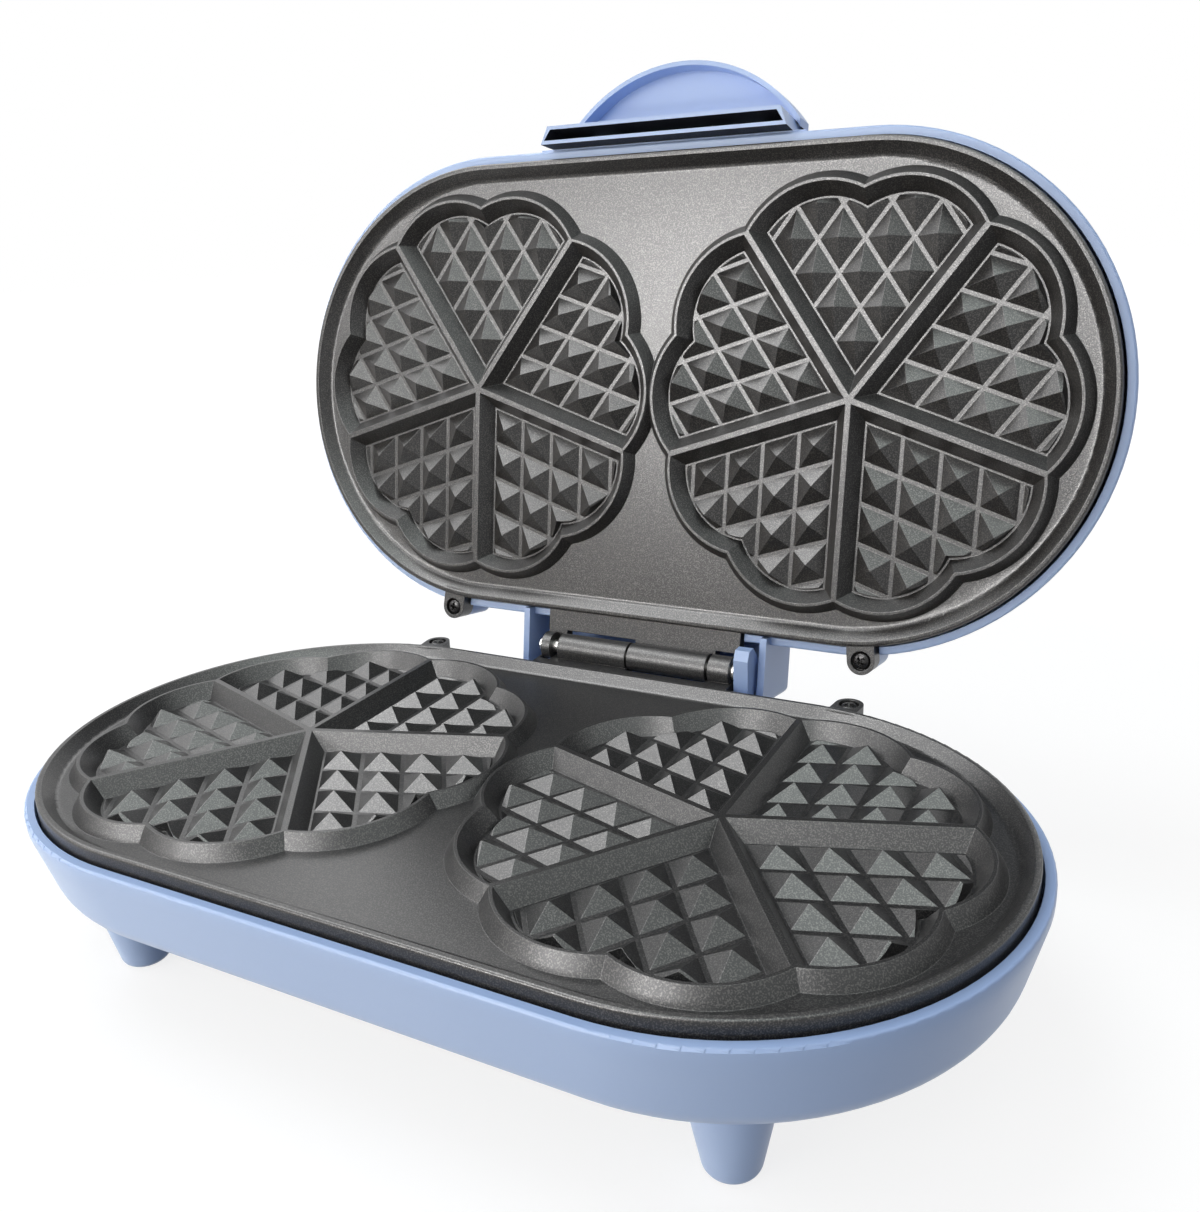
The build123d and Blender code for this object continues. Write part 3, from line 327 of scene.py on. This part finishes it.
def smooth_copy(node, body, sharp_degrees):
    """Replaces a node by a merged copy, smooth-shaded between its sharp edges."""
    mesh = frame["nodes"][node].data.copy()
    mesh.name = node + "_smooth"
    work = bmesh.new()
    work.from_mesh(mesh)
    bmesh.ops.remove_doubles(work, verts=work.verts, dist=MERGE)
    work.to_mesh(mesh)
    work.free()
    mesh.attributes.remove(mesh.attributes["custom_normal"])
    mesh.shade_smooth()
    mesh.set_sharp_from_angle(angle=radians(sharp_degrees))
    piece = link_new(node + "_smooth", mesh)
    weighted = piece.modifiers.new("weighted", "WEIGHTED_NORMAL")
    weighted.keep_sharp = True
    weighted.weight = 60
    baked = bpy.data.meshes.new_from_object(piece.evaluated_get(bpy.context.evaluated_depsgraph_get()))
    piece.modifiers.clear()
    piece.data = baked
    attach(piece, body)
    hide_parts(node)
    baked.calc_loop_triangles()
    print(node, "points", len(baked.vertices), "triangles", len(baked.loop_triangles))
    return piece


smooth = {}
for node, body in (("lower_plate", "base"), ("upper_plate", "lid"), ("base_shell", "base"),
                   ("lid_shell", "lid"), ("handle", "lid"), ("leg_front_left", "base"),
                   ("leg_front_right", "base"), ("leg_rear_left", "base"), ("leg_rear_right", "base")):
    smooth[node] = smooth_copy(node, body, VISIBLE_SHARP)

# %% [markdown]
# ## Rougher slopes of the castings
# Sprayed coating builds up a little drier on the flowers' walls, and on the ears and knuckles beyond
# the plate's edge, than on the open face. A number on each face says which ones they are, and the
# coating reads it for its roughness.

# %% Mark the flowers' walls, the ears and the knuckles
FLOWER_X = 0.0767           # plate's middle to a flower's middle
FLOWER_REACH = 0.0789       # a flower's middle to the end of its walls
PLATE_REACH = 0.0868        # a flower's middle to the plate's rounded edge
WALL_LEAN = (0.50, 0.62)    # how far a wall's normal points out of the plate


def mark_rough(piece, centre, up, out):
    """Marks the walls of the flowers, and what stands out beyond the plate's rounded edge."""
    mesh = piece.data
    marks = []
    for face in mesh.polygons:
        spot = face.center - centre
        reach = sqrt(max(abs(spot.x) - FLOWER_X, 0) ** 2 + spot.dot(up) ** 2)
        wall = reach < FLOWER_REACH and WALL_LEAN[0] < abs(face.normal.dot(out)) < WALL_LEAN[1]
        marks.append(1.0 if wall or reach > PLATE_REACH else 0.0)
    mesh.attributes.new("rough", "FLOAT", "FACE").data.foreach_set("value", marks)
    print(piece.name, "rougher faces", int(sum(marks)), "of", len(marks))


mark_rough(smooth["lower_plate"], middle, AXES["base"][1], AXES["base"][2])
mark_rough(smooth["upper_plate"], hinge + HINGE_Y * MM * LID_UP, LID_UP, LID_OUT)

# %% [markdown]
# ## The hollow of the grip
# The grip is open towards the plates, and its hollow and its underside lie in deep shade. That shade is
# painted: those faces get a near-black navy colour. They are found on the grip's own faces: one that looks
# at another face of the grip within a few centimetres is inside, and so is the underside that looks at the
# lid's rim.

# %% Painted shade inside the grip
HOLLOW_REACH = 0.030        # how far a face of the hollow looks before it meets the grip again
FLANGE_START = 0.1992       # hinge to the finger flange, along the lid
LOOKS_DOWN = 0.97           # how straight a face of the underside looks down the lid
LIFT = 0.00005              # a look starts this far off its face


def paint_hollow_shade(piece, shade_finish):
    """Paints shade, as a near-black colour, on the grip's faces that see the grip, or that look down the
    lid.

    The finger flange, further from the hinge, keeps its colour.
    """
    mesh = piece.data
    mesh.materials.append(shade_finish)
    grip = BVHTree.FromPolygons([v.co for v in mesh.vertices], [f.vertices for f in mesh.polygons])
    painted = 0
    for face in mesh.polygons:
        start = face.center + face.normal * LIFT
        inside = grip.ray_cast(start, face.normal, HOLLOW_REACH)[0] is not None
        under = face.normal.dot(-LID_UP) > LOOKS_DOWN
        if (face.center - hinge).dot(LID_UP) < FLANGE_START and (inside or under):
            face.material_index = 1
            painted += 1
    print("painted", painted, "of", len(mesh.polygons), "faces")


paint_hollow_shade(smooth["handle"], painted_shade_grip)

# %% [markdown]
# ## Cross-head screws
# Small cross-head screws hold the iron together, black ones at the plates and bright ones at the
# legs and the grip. A real one is headed and then thread-rolled from wire, its cross pressed in with
# a punch, and it stops at whatever angle it is tight. So one recipe makes the screw, and sets it on
# every place with its own turn. The places are read from the model's plain screws: each is a
# separate solid, and its wide end tells which way it points.

# %% Where a node's round solids are
def islands(node):
    """The separate solids of a node, each as a list of its points.

    They come out of a set, so their order can differ from run to run.
    """
    work = bmesh.new()
    work.from_mesh(frame["nodes"][node].data)
    bmesh.ops.remove_doubles(work, verts=work.verts, dist=MERGE)
    left = set(work.verts)
    solids = []
    while left:
        stack = [left.pop()]
        points = []
        while stack:
            vert = stack.pop()
            points.append(vert.co.copy())
            for edge in vert.link_edges:
                mate = edge.other_vert(vert)
                if mate in left:
                    left.remove(mate)
                    stack.append(mate)
        solids.append(points)
    work.free()
    return solids


def span(points, axis):
    """The least and the greatest place of the points along an axis."""
    along = [point.dot(axis) for point in points]
    return min(along), max(along)


WIDE = 0.8      # points further from the axis than this share of the radius count as the rim


def round_solids(node, body, toward=None):
    """Each round solid as (start of its axis, direction, length, radius).

    The direction is the one given in toward, or else the one to the solid's wider end.
    """
    found = []
    for points in islands(node):
        spans = [span(points, axis) for axis in AXES[body]]
        sizes = [high - low for low, high in spans]
        along = min(range(3), key=lambda k: abs(sizes[k - 1] - sizes[k - 2]))
        axis = AXES[body][along]
        low, high = spans[along]
        centre = sum((AXES[body][k] * sum(spans[k]) / 2 for k in range(3) if k != along), Vector())
        radius = max(sizes[along - 1], sizes[along - 2]) / 2
        wide = [point.dot(axis) for point in points
                if (point - centre - axis * point.dot(axis)).length > WIDE * radius]
        forward = axis.dot(toward) > 0 if toward else sum(wide) / len(wide) > (low + high) / 2
        aim = axis if forward else -axis
        found.append((centre + axis * (low if forward else high), aim, high - low, radius))
    return found

# %% [markdown]
# ## How a screw is made
# Wire is swept along the axis and its rings are pushed in and out by a rising angle, which is what
# a thread is; the last few rings taper to a lead. The head is a second sweep, domed by its height.
# The cross is a square punch crossed with itself and cut out, so it has real walls for the light.
# Geometry Nodes fit here because the same screw repeats, each time turned by chance. A fixed seed
# gives the same list of turns in every run. Which screw of a node gets which of them can still differ
# from run to run, because the list follows the order in which the solids were found in the model.

# %% The screw's recipe
HEAD_HEIGHT = 0.0022
TAPER = 0.0014          # length of the thinner tip
TIP = 0.55              # the tip's end, as a share of the shank's radius
THREAD_DEPTH = 0.17     # as a share of the radius
DOME = 0.75             # how far the head's top draws in
CROSS_DEPTH = 0.0012
PUNCH = {"Vertices": 4, "Radius Top": 0.0026, "Radius Bottom": 0.0012, "Depth": 0.0014}
PUNCH_FLAT = 0.30       # a blade's thickness, as a share of its width
SHANK_AROUND = 16       # points around the shank, and around the head
HEAD_AROUND = 32
HEAD_RINGS = 9
RING_STEP = 0.25        # from one ring of the shank to the next, as a share of the pitch


def screw_recipe():
    """Geometry Nodes: a thread-rolled shank and a domed head with a pressed cross, on every point."""
    tree = bpy.data.node_groups.new("cross_head_screws", "GeometryNodeTree")
    socket = tree.interface.new_socket
    socket("Places", in_out="INPUT", socket_type="NodeSocketGeometry")
    for name, value in (("Shank Length", 0.010), ("Shank Radius", 0.0017), ("Head Radius", 0.0033),
                        ("Head Height", HEAD_HEIGHT), ("Pitch", 0.0012)):
        socket(name, in_out="INPUT", socket_type="NodeSocketFloat").default_value = value
    socket("Seed", in_out="INPUT", socket_type="NodeSocketInt").default_value = 7
    socket("Finish", in_out="INPUT", socket_type="NodeSocketMaterial")
    socket("Screws", in_out="OUTPUT", socket_type="NodeSocketGeometry")
    group = tree.nodes.new("NodeGroupInput")
    given = {item.name: Wire(tree, item) for item in group.outputs if item.name}
    start = given["Places"]
    x = start.node("ShaderNodeSeparateXYZ", {}, {0: start.node("GeometryNodeInputPosition")})
    y, z = x.other("Y"), x.other("Z")

    def swept(first, last, radius, around, settings, values):
        """A tube along the screw's axis, with rings to shape afterwards."""
        line = start.node("GeometryNodeCurvePrimitiveLine", {}, {"Start": first, "End": last})
        rings = start.node("GeometryNodeResampleCurve", settings, {"Curve": line, **values})
        ring = start.node("GeometryNodeCurvePrimitiveCircle", {}, {"Resolution": around, "Radius": radius})
        return start.node("GeometryNodeCurveToMesh", {}, {
            "Curve": rings, "Profile Curve": ring, "Fill Caps": True})

    def widened(mesh, scale):
        """Every ring scaled about the axis."""
        spot = start.node("ShaderNodeCombineXYZ", {}, {"X": x * scale, "Y": y * scale, "Z": z})
        return start.node("GeometryNodeSetPosition", {}, {"Geometry": mesh, "Position": spot})

    length, pitch, height = given["Shank Length"], given["Pitch"], given["Head Height"]
    tip = start.node("ShaderNodeCombineXYZ", {}, {"Z": length * -1.0})
    wire = swept(tip, (0, 0, 0), given["Shank Radius"], SHANK_AROUND, {"mode": "LENGTH"},
                 {"Length": pitch * RING_STEP})
    turns = z.maths("DIVIDE", pitch) - y.maths("ARCTAN2", x) * (0.5 / pi)
    groove = (turns.maths("FRACT") - 0.5).maths("ABSOLUTE") * 2.0
    point = (z + length).fitted(0.0, TAPER, TIP, 1.0)
    shank = widened(wire, (1.0 - groove * THREAD_DEPTH) * point)
    top = start.node("ShaderNodeCombineXYZ", {}, {"Z": height})
    blank = swept((0, 0, 0), top, given["Head Radius"], HEAD_AROUND, {"mode": "COUNT"},
                  {"Count": HEAD_RINGS})
    rise = z.maths("DIVIDE", height).maths("POWER", 3.0)
    head = widened(blank, (1.0 - rise * DOME).maths("SQRT"))
    punch = start.node("GeometryNodeMeshCone", {}, PUNCH)
    square = start.node("GeometryNodeTransform", {}, {"Geometry": punch, "Rotation": (0, 0, pi / 4)})
    sunk = start.node("ShaderNodeCombineXYZ", {}, {"Z": height - CROSS_DEPTH})
    blade = start.node("GeometryNodeTransform", {}, {
        "Geometry": square, "Translation": sunk, "Scale": (1, PUNCH_FLAT, 1)})
    crossing = start.node("GeometryNodeTransform", {}, {"Geometry": blade, "Rotation": (0, 0, pi / 2)})
    pressed = start.node("GeometryNodeMeshBoolean", {"operation": "DIFFERENCE"}, {
        "Mesh 1": head, "Mesh 2": [blade, crossing]})
    screw = start.node("GeometryNodeJoinGeometry", {}, {"Geometry": [pressed, shank]})
    aim = start.node("GeometryNodeInputNamedAttribute", {"data_type": "FLOAT_VECTOR"}, {"Name": "aim"})
    upright = start.node("FunctionNodeAlignRotationToVector", {"axis": "Z"}, {"Vector": aim})
    placed = start.node("GeometryNodeInstanceOnPoints", {}, {
        "Points": start, "Instance": screw, "Rotation": upright})
    turn = start.node("FunctionNodeRandomValue", {"data_type": "FLOAT"}, {
        2: 0.0, 3: pi, "Seed": given["Seed"]}, out=1)
    tightened = start.node("GeometryNodeRotateInstances", {}, {
        "Instances": placed, "Rotation": start.node("ShaderNodeCombineXYZ", {}, {"Z": turn}),
        "Local Space": True})
    real = start.node("GeometryNodeRealizeInstances", {}, {"Geometry": tightened})
    done = start.node("GeometryNodeSetMaterial", {}, {"Geometry": real, "Material": given["Finish"]})
    tree.links.new(done.socket, tree.nodes.new("NodeGroupOutput").inputs[0])
    return tree


def from_recipe(name, tree, places, aims, inputs):
    """Runs a recipe over some points and gives back one object with the finished mesh."""
    points = bpy.data.meshes.new(name)
    points.from_pydata(places, [], [])
    points.attributes.new("aim", "FLOAT_VECTOR", "POINT").data.foreach_set(
        "vector", [part for aim in aims for part in aim])
    piece = link_new(name, points)
    recipe = piece.modifiers.new("recipe", "NODES")
    recipe.node_group = tree
    for item in tree.interface.items_tree:
        if item.in_out == "INPUT" and item.name in inputs:
            recipe[item.identifier] = inputs[item.name]
    made = bpy.data.meshes.new_from_object(piece.evaluated_get(bpy.context.evaluated_depsgraph_get()))
    piece.modifiers.clear()
    piece.data = made
    made.shade_smooth()
    made.set_sharp_from_angle(angle=radians(MADE_SHARP))
    return piece

# %% [markdown]
# ## The screws in their places
# The head's seat is where the model has it. The shank's length comes from the model's screw, so a
# short screw in a leg and a long one in a pillar are the same recipe with another number.

# %% Screws in their places
FIRST_SEED = 3
screws = screw_recipe()
for seed, (node, body) in enumerate((("leg_screws", "base"), ("lower_plate_screws", "base"),
                                     ("lower_fixing_screws", "base"), ("handle_screws", "lid"),
                                     ("upper_plate_screws", "lid"), ("upper_fixing_screws", "lid"))):
    found = round_solids(node, body)
    length = found[0][2] - HEAD_HEIGHT
    piece = from_recipe(node + "_threaded", screws, [start + aim * length for start, aim, _, _ in found],
                        [aim for _, aim, _, _ in found],
                        {"Shank Length": length, "Head Radius": found[0][3], "Seed": seed + FIRST_SEED,
                         "Finish": node_finish[node]})
    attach(piece, body)
    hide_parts(node)
    piece.data.calc_loop_triangles()
    print(node, len(found), "screws, shank", round(length * 1000, 2), "mm, triangles",
          len(piece.data.loop_triangles))

# %% [markdown]
# ## Turned and moulded round pieces
# The foot pads are moulded rubber with grooves that grip the table, and the cord's gland has ribs
# that let it flex. Both are round, so each is one outline turned about its node's own axis.

# %% One outline, turned
AROUND = 48             # points around a turned piece
MERGE_TURNED = 1e-7     # merges only the points on the axis


def turned(node, body, toward, outline, bore):
    """Replaces a node's round solids by an outline of (radius, distance) in metres, turned round.

    With a bore the outline is a closed ring of its own; without one it starts and ends on the axis.
    """
    points, faces = [], []
    for start, aim, length, radius in round_solids(node, body, toward):
        across = aim.orthogonal().normalized()
        beside = aim.cross(across)
        rings = outline(radius, length)
        first = len(points)
        for wide, far in rings:
            for k in range(AROUND):
                angle = 2 * pi * k / AROUND
                points.append(start + aim * far + (across * cos(angle) + beside * sin(angle)) * wide)
        steps = len(rings) if bore else len(rings) - 1
        for ring in range(steps):
            one = first + ring * AROUND
            two = first + (ring + 1) % len(rings) * AROUND
            faces += [(one + k, one + (k + 1) % AROUND, two + (k + 1) % AROUND, two + k)
                      for k in range(AROUND)]
    mesh = bpy.data.meshes.new(node + "_turned")
    mesh.from_pydata(points, [], faces)
    work = bmesh.new()
    work.from_mesh(mesh)
    bmesh.ops.remove_doubles(work, verts=work.verts, dist=MERGE_TURNED)
    bmesh.ops.recalc_face_normals(work, faces=work.faces)
    work.to_mesh(mesh)
    work.free()
    mesh.shade_smooth()
    mesh.set_sharp_from_angle(angle=radians(MADE_SHARP))
    mesh.materials.append(node_finish[node])
    piece = link_new(node + "_turned", mesh)
    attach(piece, body)
    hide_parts(node)
    print(node, "turned, faces", len(mesh.polygons))


def pad_outline(radius, length):
    """A pad from its glued face to the table, with two ring grooves."""
    soft, deep, mouth, bed = 0.0005, 0.0006, 0.07, 0.04
    edge = [(0.0, 0.0), (radius - 0.0002, 0.0), (radius, 0.0002), (radius, length - soft)]
    edge += [(radius - soft + soft * sin(a), length - soft + soft * cos(a)) for a in (1.0, 0.5, 0.0)]
    for groove in (0.66, 0.34):
        edge += [((groove + mouth) * radius, length), ((groove + bed) * radius, length - deep),
                 ((groove - bed) * radius, length - deep), ((groove - mouth) * radius, length)]
    return edge + [(0.0, length)]


def gland_outline(radius, length):
    """The cord's gland from its inner lip to its ribbed tail, with the bore for the cord."""
    lip, neck, bore, ribbed, rib, thinner = 0.0016, 0.0046, 0.0032, 0.0085, 0.0007, 0.0008
    tail = length - ribbed
    edge = [(bore, 0.0), (radius - 0.0004, 0.0), (radius, 0.0004), (radius, lip), (neck, lip),
            (neck, tail), (radius - 0.0003, tail), (radius, tail + 0.0003), (radius, tail + 0.0014)]
    for k in range(4):
        far = tail + 0.0018 + 0.0017 * k
        wide = radius - (far - tail) / ribbed * thinner
        edge += [(wide - rib, far), (wide - rib, far + 0.0006), (wide, far + 0.0008),
                 (wide, far + 0.0013)]
    return edge + [(neck - 0.0003, length), (bore, length)]


turned("foot_pads", "base", Vector((0, 0, -1)), pad_outline, False)
turned("cord_gland", "base", Vector((0, 1, 0)), gland_outline, True)

# %% [markdown]
# ## The pieces inside
# What is left is seen only when the iron is taken apart: the tubular heaters, their saddles, the
# reflectors, the thermostat, the fuses and the sleeved leads. Their forms are final in the frame;
# merged and smooth-shaded they look rolled, drawn or moulded instead of faceted.

# %% Smooth copies of the inner pieces
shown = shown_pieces()
for name, node in frame["nodes"].items():
    if node in shown:
        smooth_copy(name, body_of(node)[0], INNER_SHARP)

# %% [markdown]
# ## What a ray is for
# A product picture has a white ground, while the light on the product comes from lamps with dark
# gaps between them. The two don't go together in one world colour. A light path tells the rays
# apart: those that look for the background see white, and those that gather matt light see half of it.

# %% What a ray is for
def ray_kind(tree, *kinds):
    """1 for the kinds of ray that are named and 0 for all others."""
    path = tree.nodes.new("ShaderNodeLightPath")
    parts = [Wire(tree, path.outputs[kind]) for kind in kinds]
    total = parts[0]
    for part in parts[1:]:
        total = total + part
    return total.fitted(0, 1)


SEEN = ("Is Camera Ray", "Is Glossy Ray", "Is Transmission Ray")

# %% [markdown]
# ## The floor
# Paper under the iron takes its shadow. To the camera and to reflections it is a matt sheet that also
# glows, more with distance, so that it fades into the white ground without a horizon. Matt light meets
# a darker sheet instead, so that the floor doesn't light the iron from below.

# %% Floor
FLOOR_SIZE = 12.0
GLOW = 1.12
GLOW_SHARE = (0.72, 1.0)        # share of the glow, near and far
FADE = (0.35, 1.1)              # where near ends and far begins
floor_mesh = bpy.data.meshes.new("floor")
half = FLOOR_SIZE / 2
floor_mesh.from_pydata([(-half, -half, 0), (half, -half, 0), (half, half, 0), (-half, half, 0)], [],
                       [(0, 1, 2, 3)])
floor = link_new("floor", floor_mesh)
paper = finish("pale_floor", satin((0.18, 0.18, 0.18), 0.9, 0.0, 0.002, 0.00001))
floor_tree = paper.node_tree
seen = ray_kind(floor_tree, *SEEN)
glow = seen.node("ShaderNodeEmission", {}, {"Strength": GLOW})
spot = Wire(floor_tree, floor_tree.nodes["Texture Coordinate"].outputs["Object"])
far = seen.node("ShaderNodeVectorMath", {"operation": "LENGTH"}, {0: spot}, out="Value")
matt = seen.node("ShaderNodeBsdfDiffuse", {}, {"Color": (0.9, 0.9, 0.9, 1)})
darker_sheet = Wire(floor_tree, floor_tree.nodes["Principled BSDF"].outputs[0])
paler = seen.node("ShaderNodeMixShader", {}, {0: far.fitted(*FADE, *GLOW_SHARE), 1: matt, 2: glow})
whole = seen.node("ShaderNodeMixShader", {}, {0: seen, 1: darker_sheet, 2: paler})
floor_tree.links.new(whole.socket, floor_tree.nodes["Material Output"].inputs["Surface"])
floor_mesh.materials.append(paper)
print("floor", FLOOR_SIZE, "m wide, its top at height 0")

# %% [markdown]
# ## Lamps
# The plates are half-shiny, so each slope of a pyramid shows one piece of the room. Reading the
# photograph slope by slope gave a rough map of that room: a wide low window in front, brighter soft
# light over it and on the left, a dim ceiling and a dark right side. Soft panels stand at those
# bearings and heights. One set is only seen in reflections, and a second one only gives the matt
# light on the blue shells, because a photographer's flags and reflectors part the two as well.

# %% Lamps and world
IRON = (0, 0.05, 0.15)          # what the lamps look at
MATT_STRENGTH = 0.5             # the world, to rays that gather matt light


def lamp(name, direction, power, size, distance=2.2, lights=True, mirrors=True, tone=(1, 1, 1), aim=IRON):
    """A soft area lamp that looks at the iron, from a direction given by bearing and height."""
    bearing, height = (radians(angle) for angle in direction)
    away = Vector((sin(bearing) * cos(height), -cos(bearing) * cos(height), sin(height)))
    data = bpy.data.lights.new(name, "AREA")
    data.energy = power
    data.color = tone
    data.shape = "ELLIPSE"
    data.size, data.size_y = size
    item = link_new(name, data)
    item.location = Vector(aim) + distance * away
    item.rotation_euler = away.to_track_quat("Z", "Y").to_euler()
    item.visible_camera = False
    item.visible_diffuse = lights
    item.visible_glossy = mirrors


WARM = (1, 0.985, 0.975)
LEAF = (0.90, 1.0, 0.96)
lamp("window", (-17, 17.5), 41, (1.6, 0.52), tone=WARM, lights=False)
lamp("window_core", (-25, 13.5), 4.5, (0.22, 0.18), distance=2.1, lights=False, tone=WARM)
lamp("window_above", (-5, 42), 27, (1.2, 0.8), lights=False, tone=WARM)
lamp("left_low", (-55, 20), 8, (0.95, 0.45), lights=False, tone=WARM)
lamp("left_middle", (-50, 57), 13, (0.9, 0.6), lights=False)
lamp("left_high", (-88, 45), 28, (1.6, 1.6), lights=False)
lamp("left_rear", (-142, 34), 7, (1.2, 0.9), lights=False)
lamp("overhead", (-74, 68), 17, (0.9, 0.9), lights=False)
lamp("ceiling", (35, 81), 15, (1.1, 1.1), lights=False, tone=LEAF)
lamp("right_front", (24, 53), 5, (0.8, 0.5), lights=False, tone=LEAF)
lamp("right_high", (80, 48), 17, (2.5, 2.0), lights=False, tone=LEAF)
lamp("front", (-22, 18), 11, (1.3, 0.8), mirrors=False, tone=(1, 0.97, 0.92))
lamp("side", (-66, 10), 12, (1.0, 0.8), mirrors=False, tone=(1, 0.90, 0.78))
lamp("sky", (-90, 66), 18, (1.4, 1.4), mirrors=False, tone=(0.88, 0.97, 1.0))
lamp("bounce", (-35, -2), 4.5, (0.8, 0.12), distance=0.75, mirrors=False, aim=(0, -0.10, 0.05),
     tone=(1, 0.82, 0.60))
world = bpy.data.worlds.new("world")
world.use_nodes = True
scene.world = world
sky = world.node_tree
strength = ray_kind(sky, *SEEN).fitted(0, 1, MATT_STRENGTH, 1.0)
sky.links.new(strength.socket, sky.nodes["Background"].inputs["Strength"])
sky.nodes["Background"].inputs["Color"].default_value = (1, 1, 1, 1)
scene.view_settings.view_transform = "Standard"
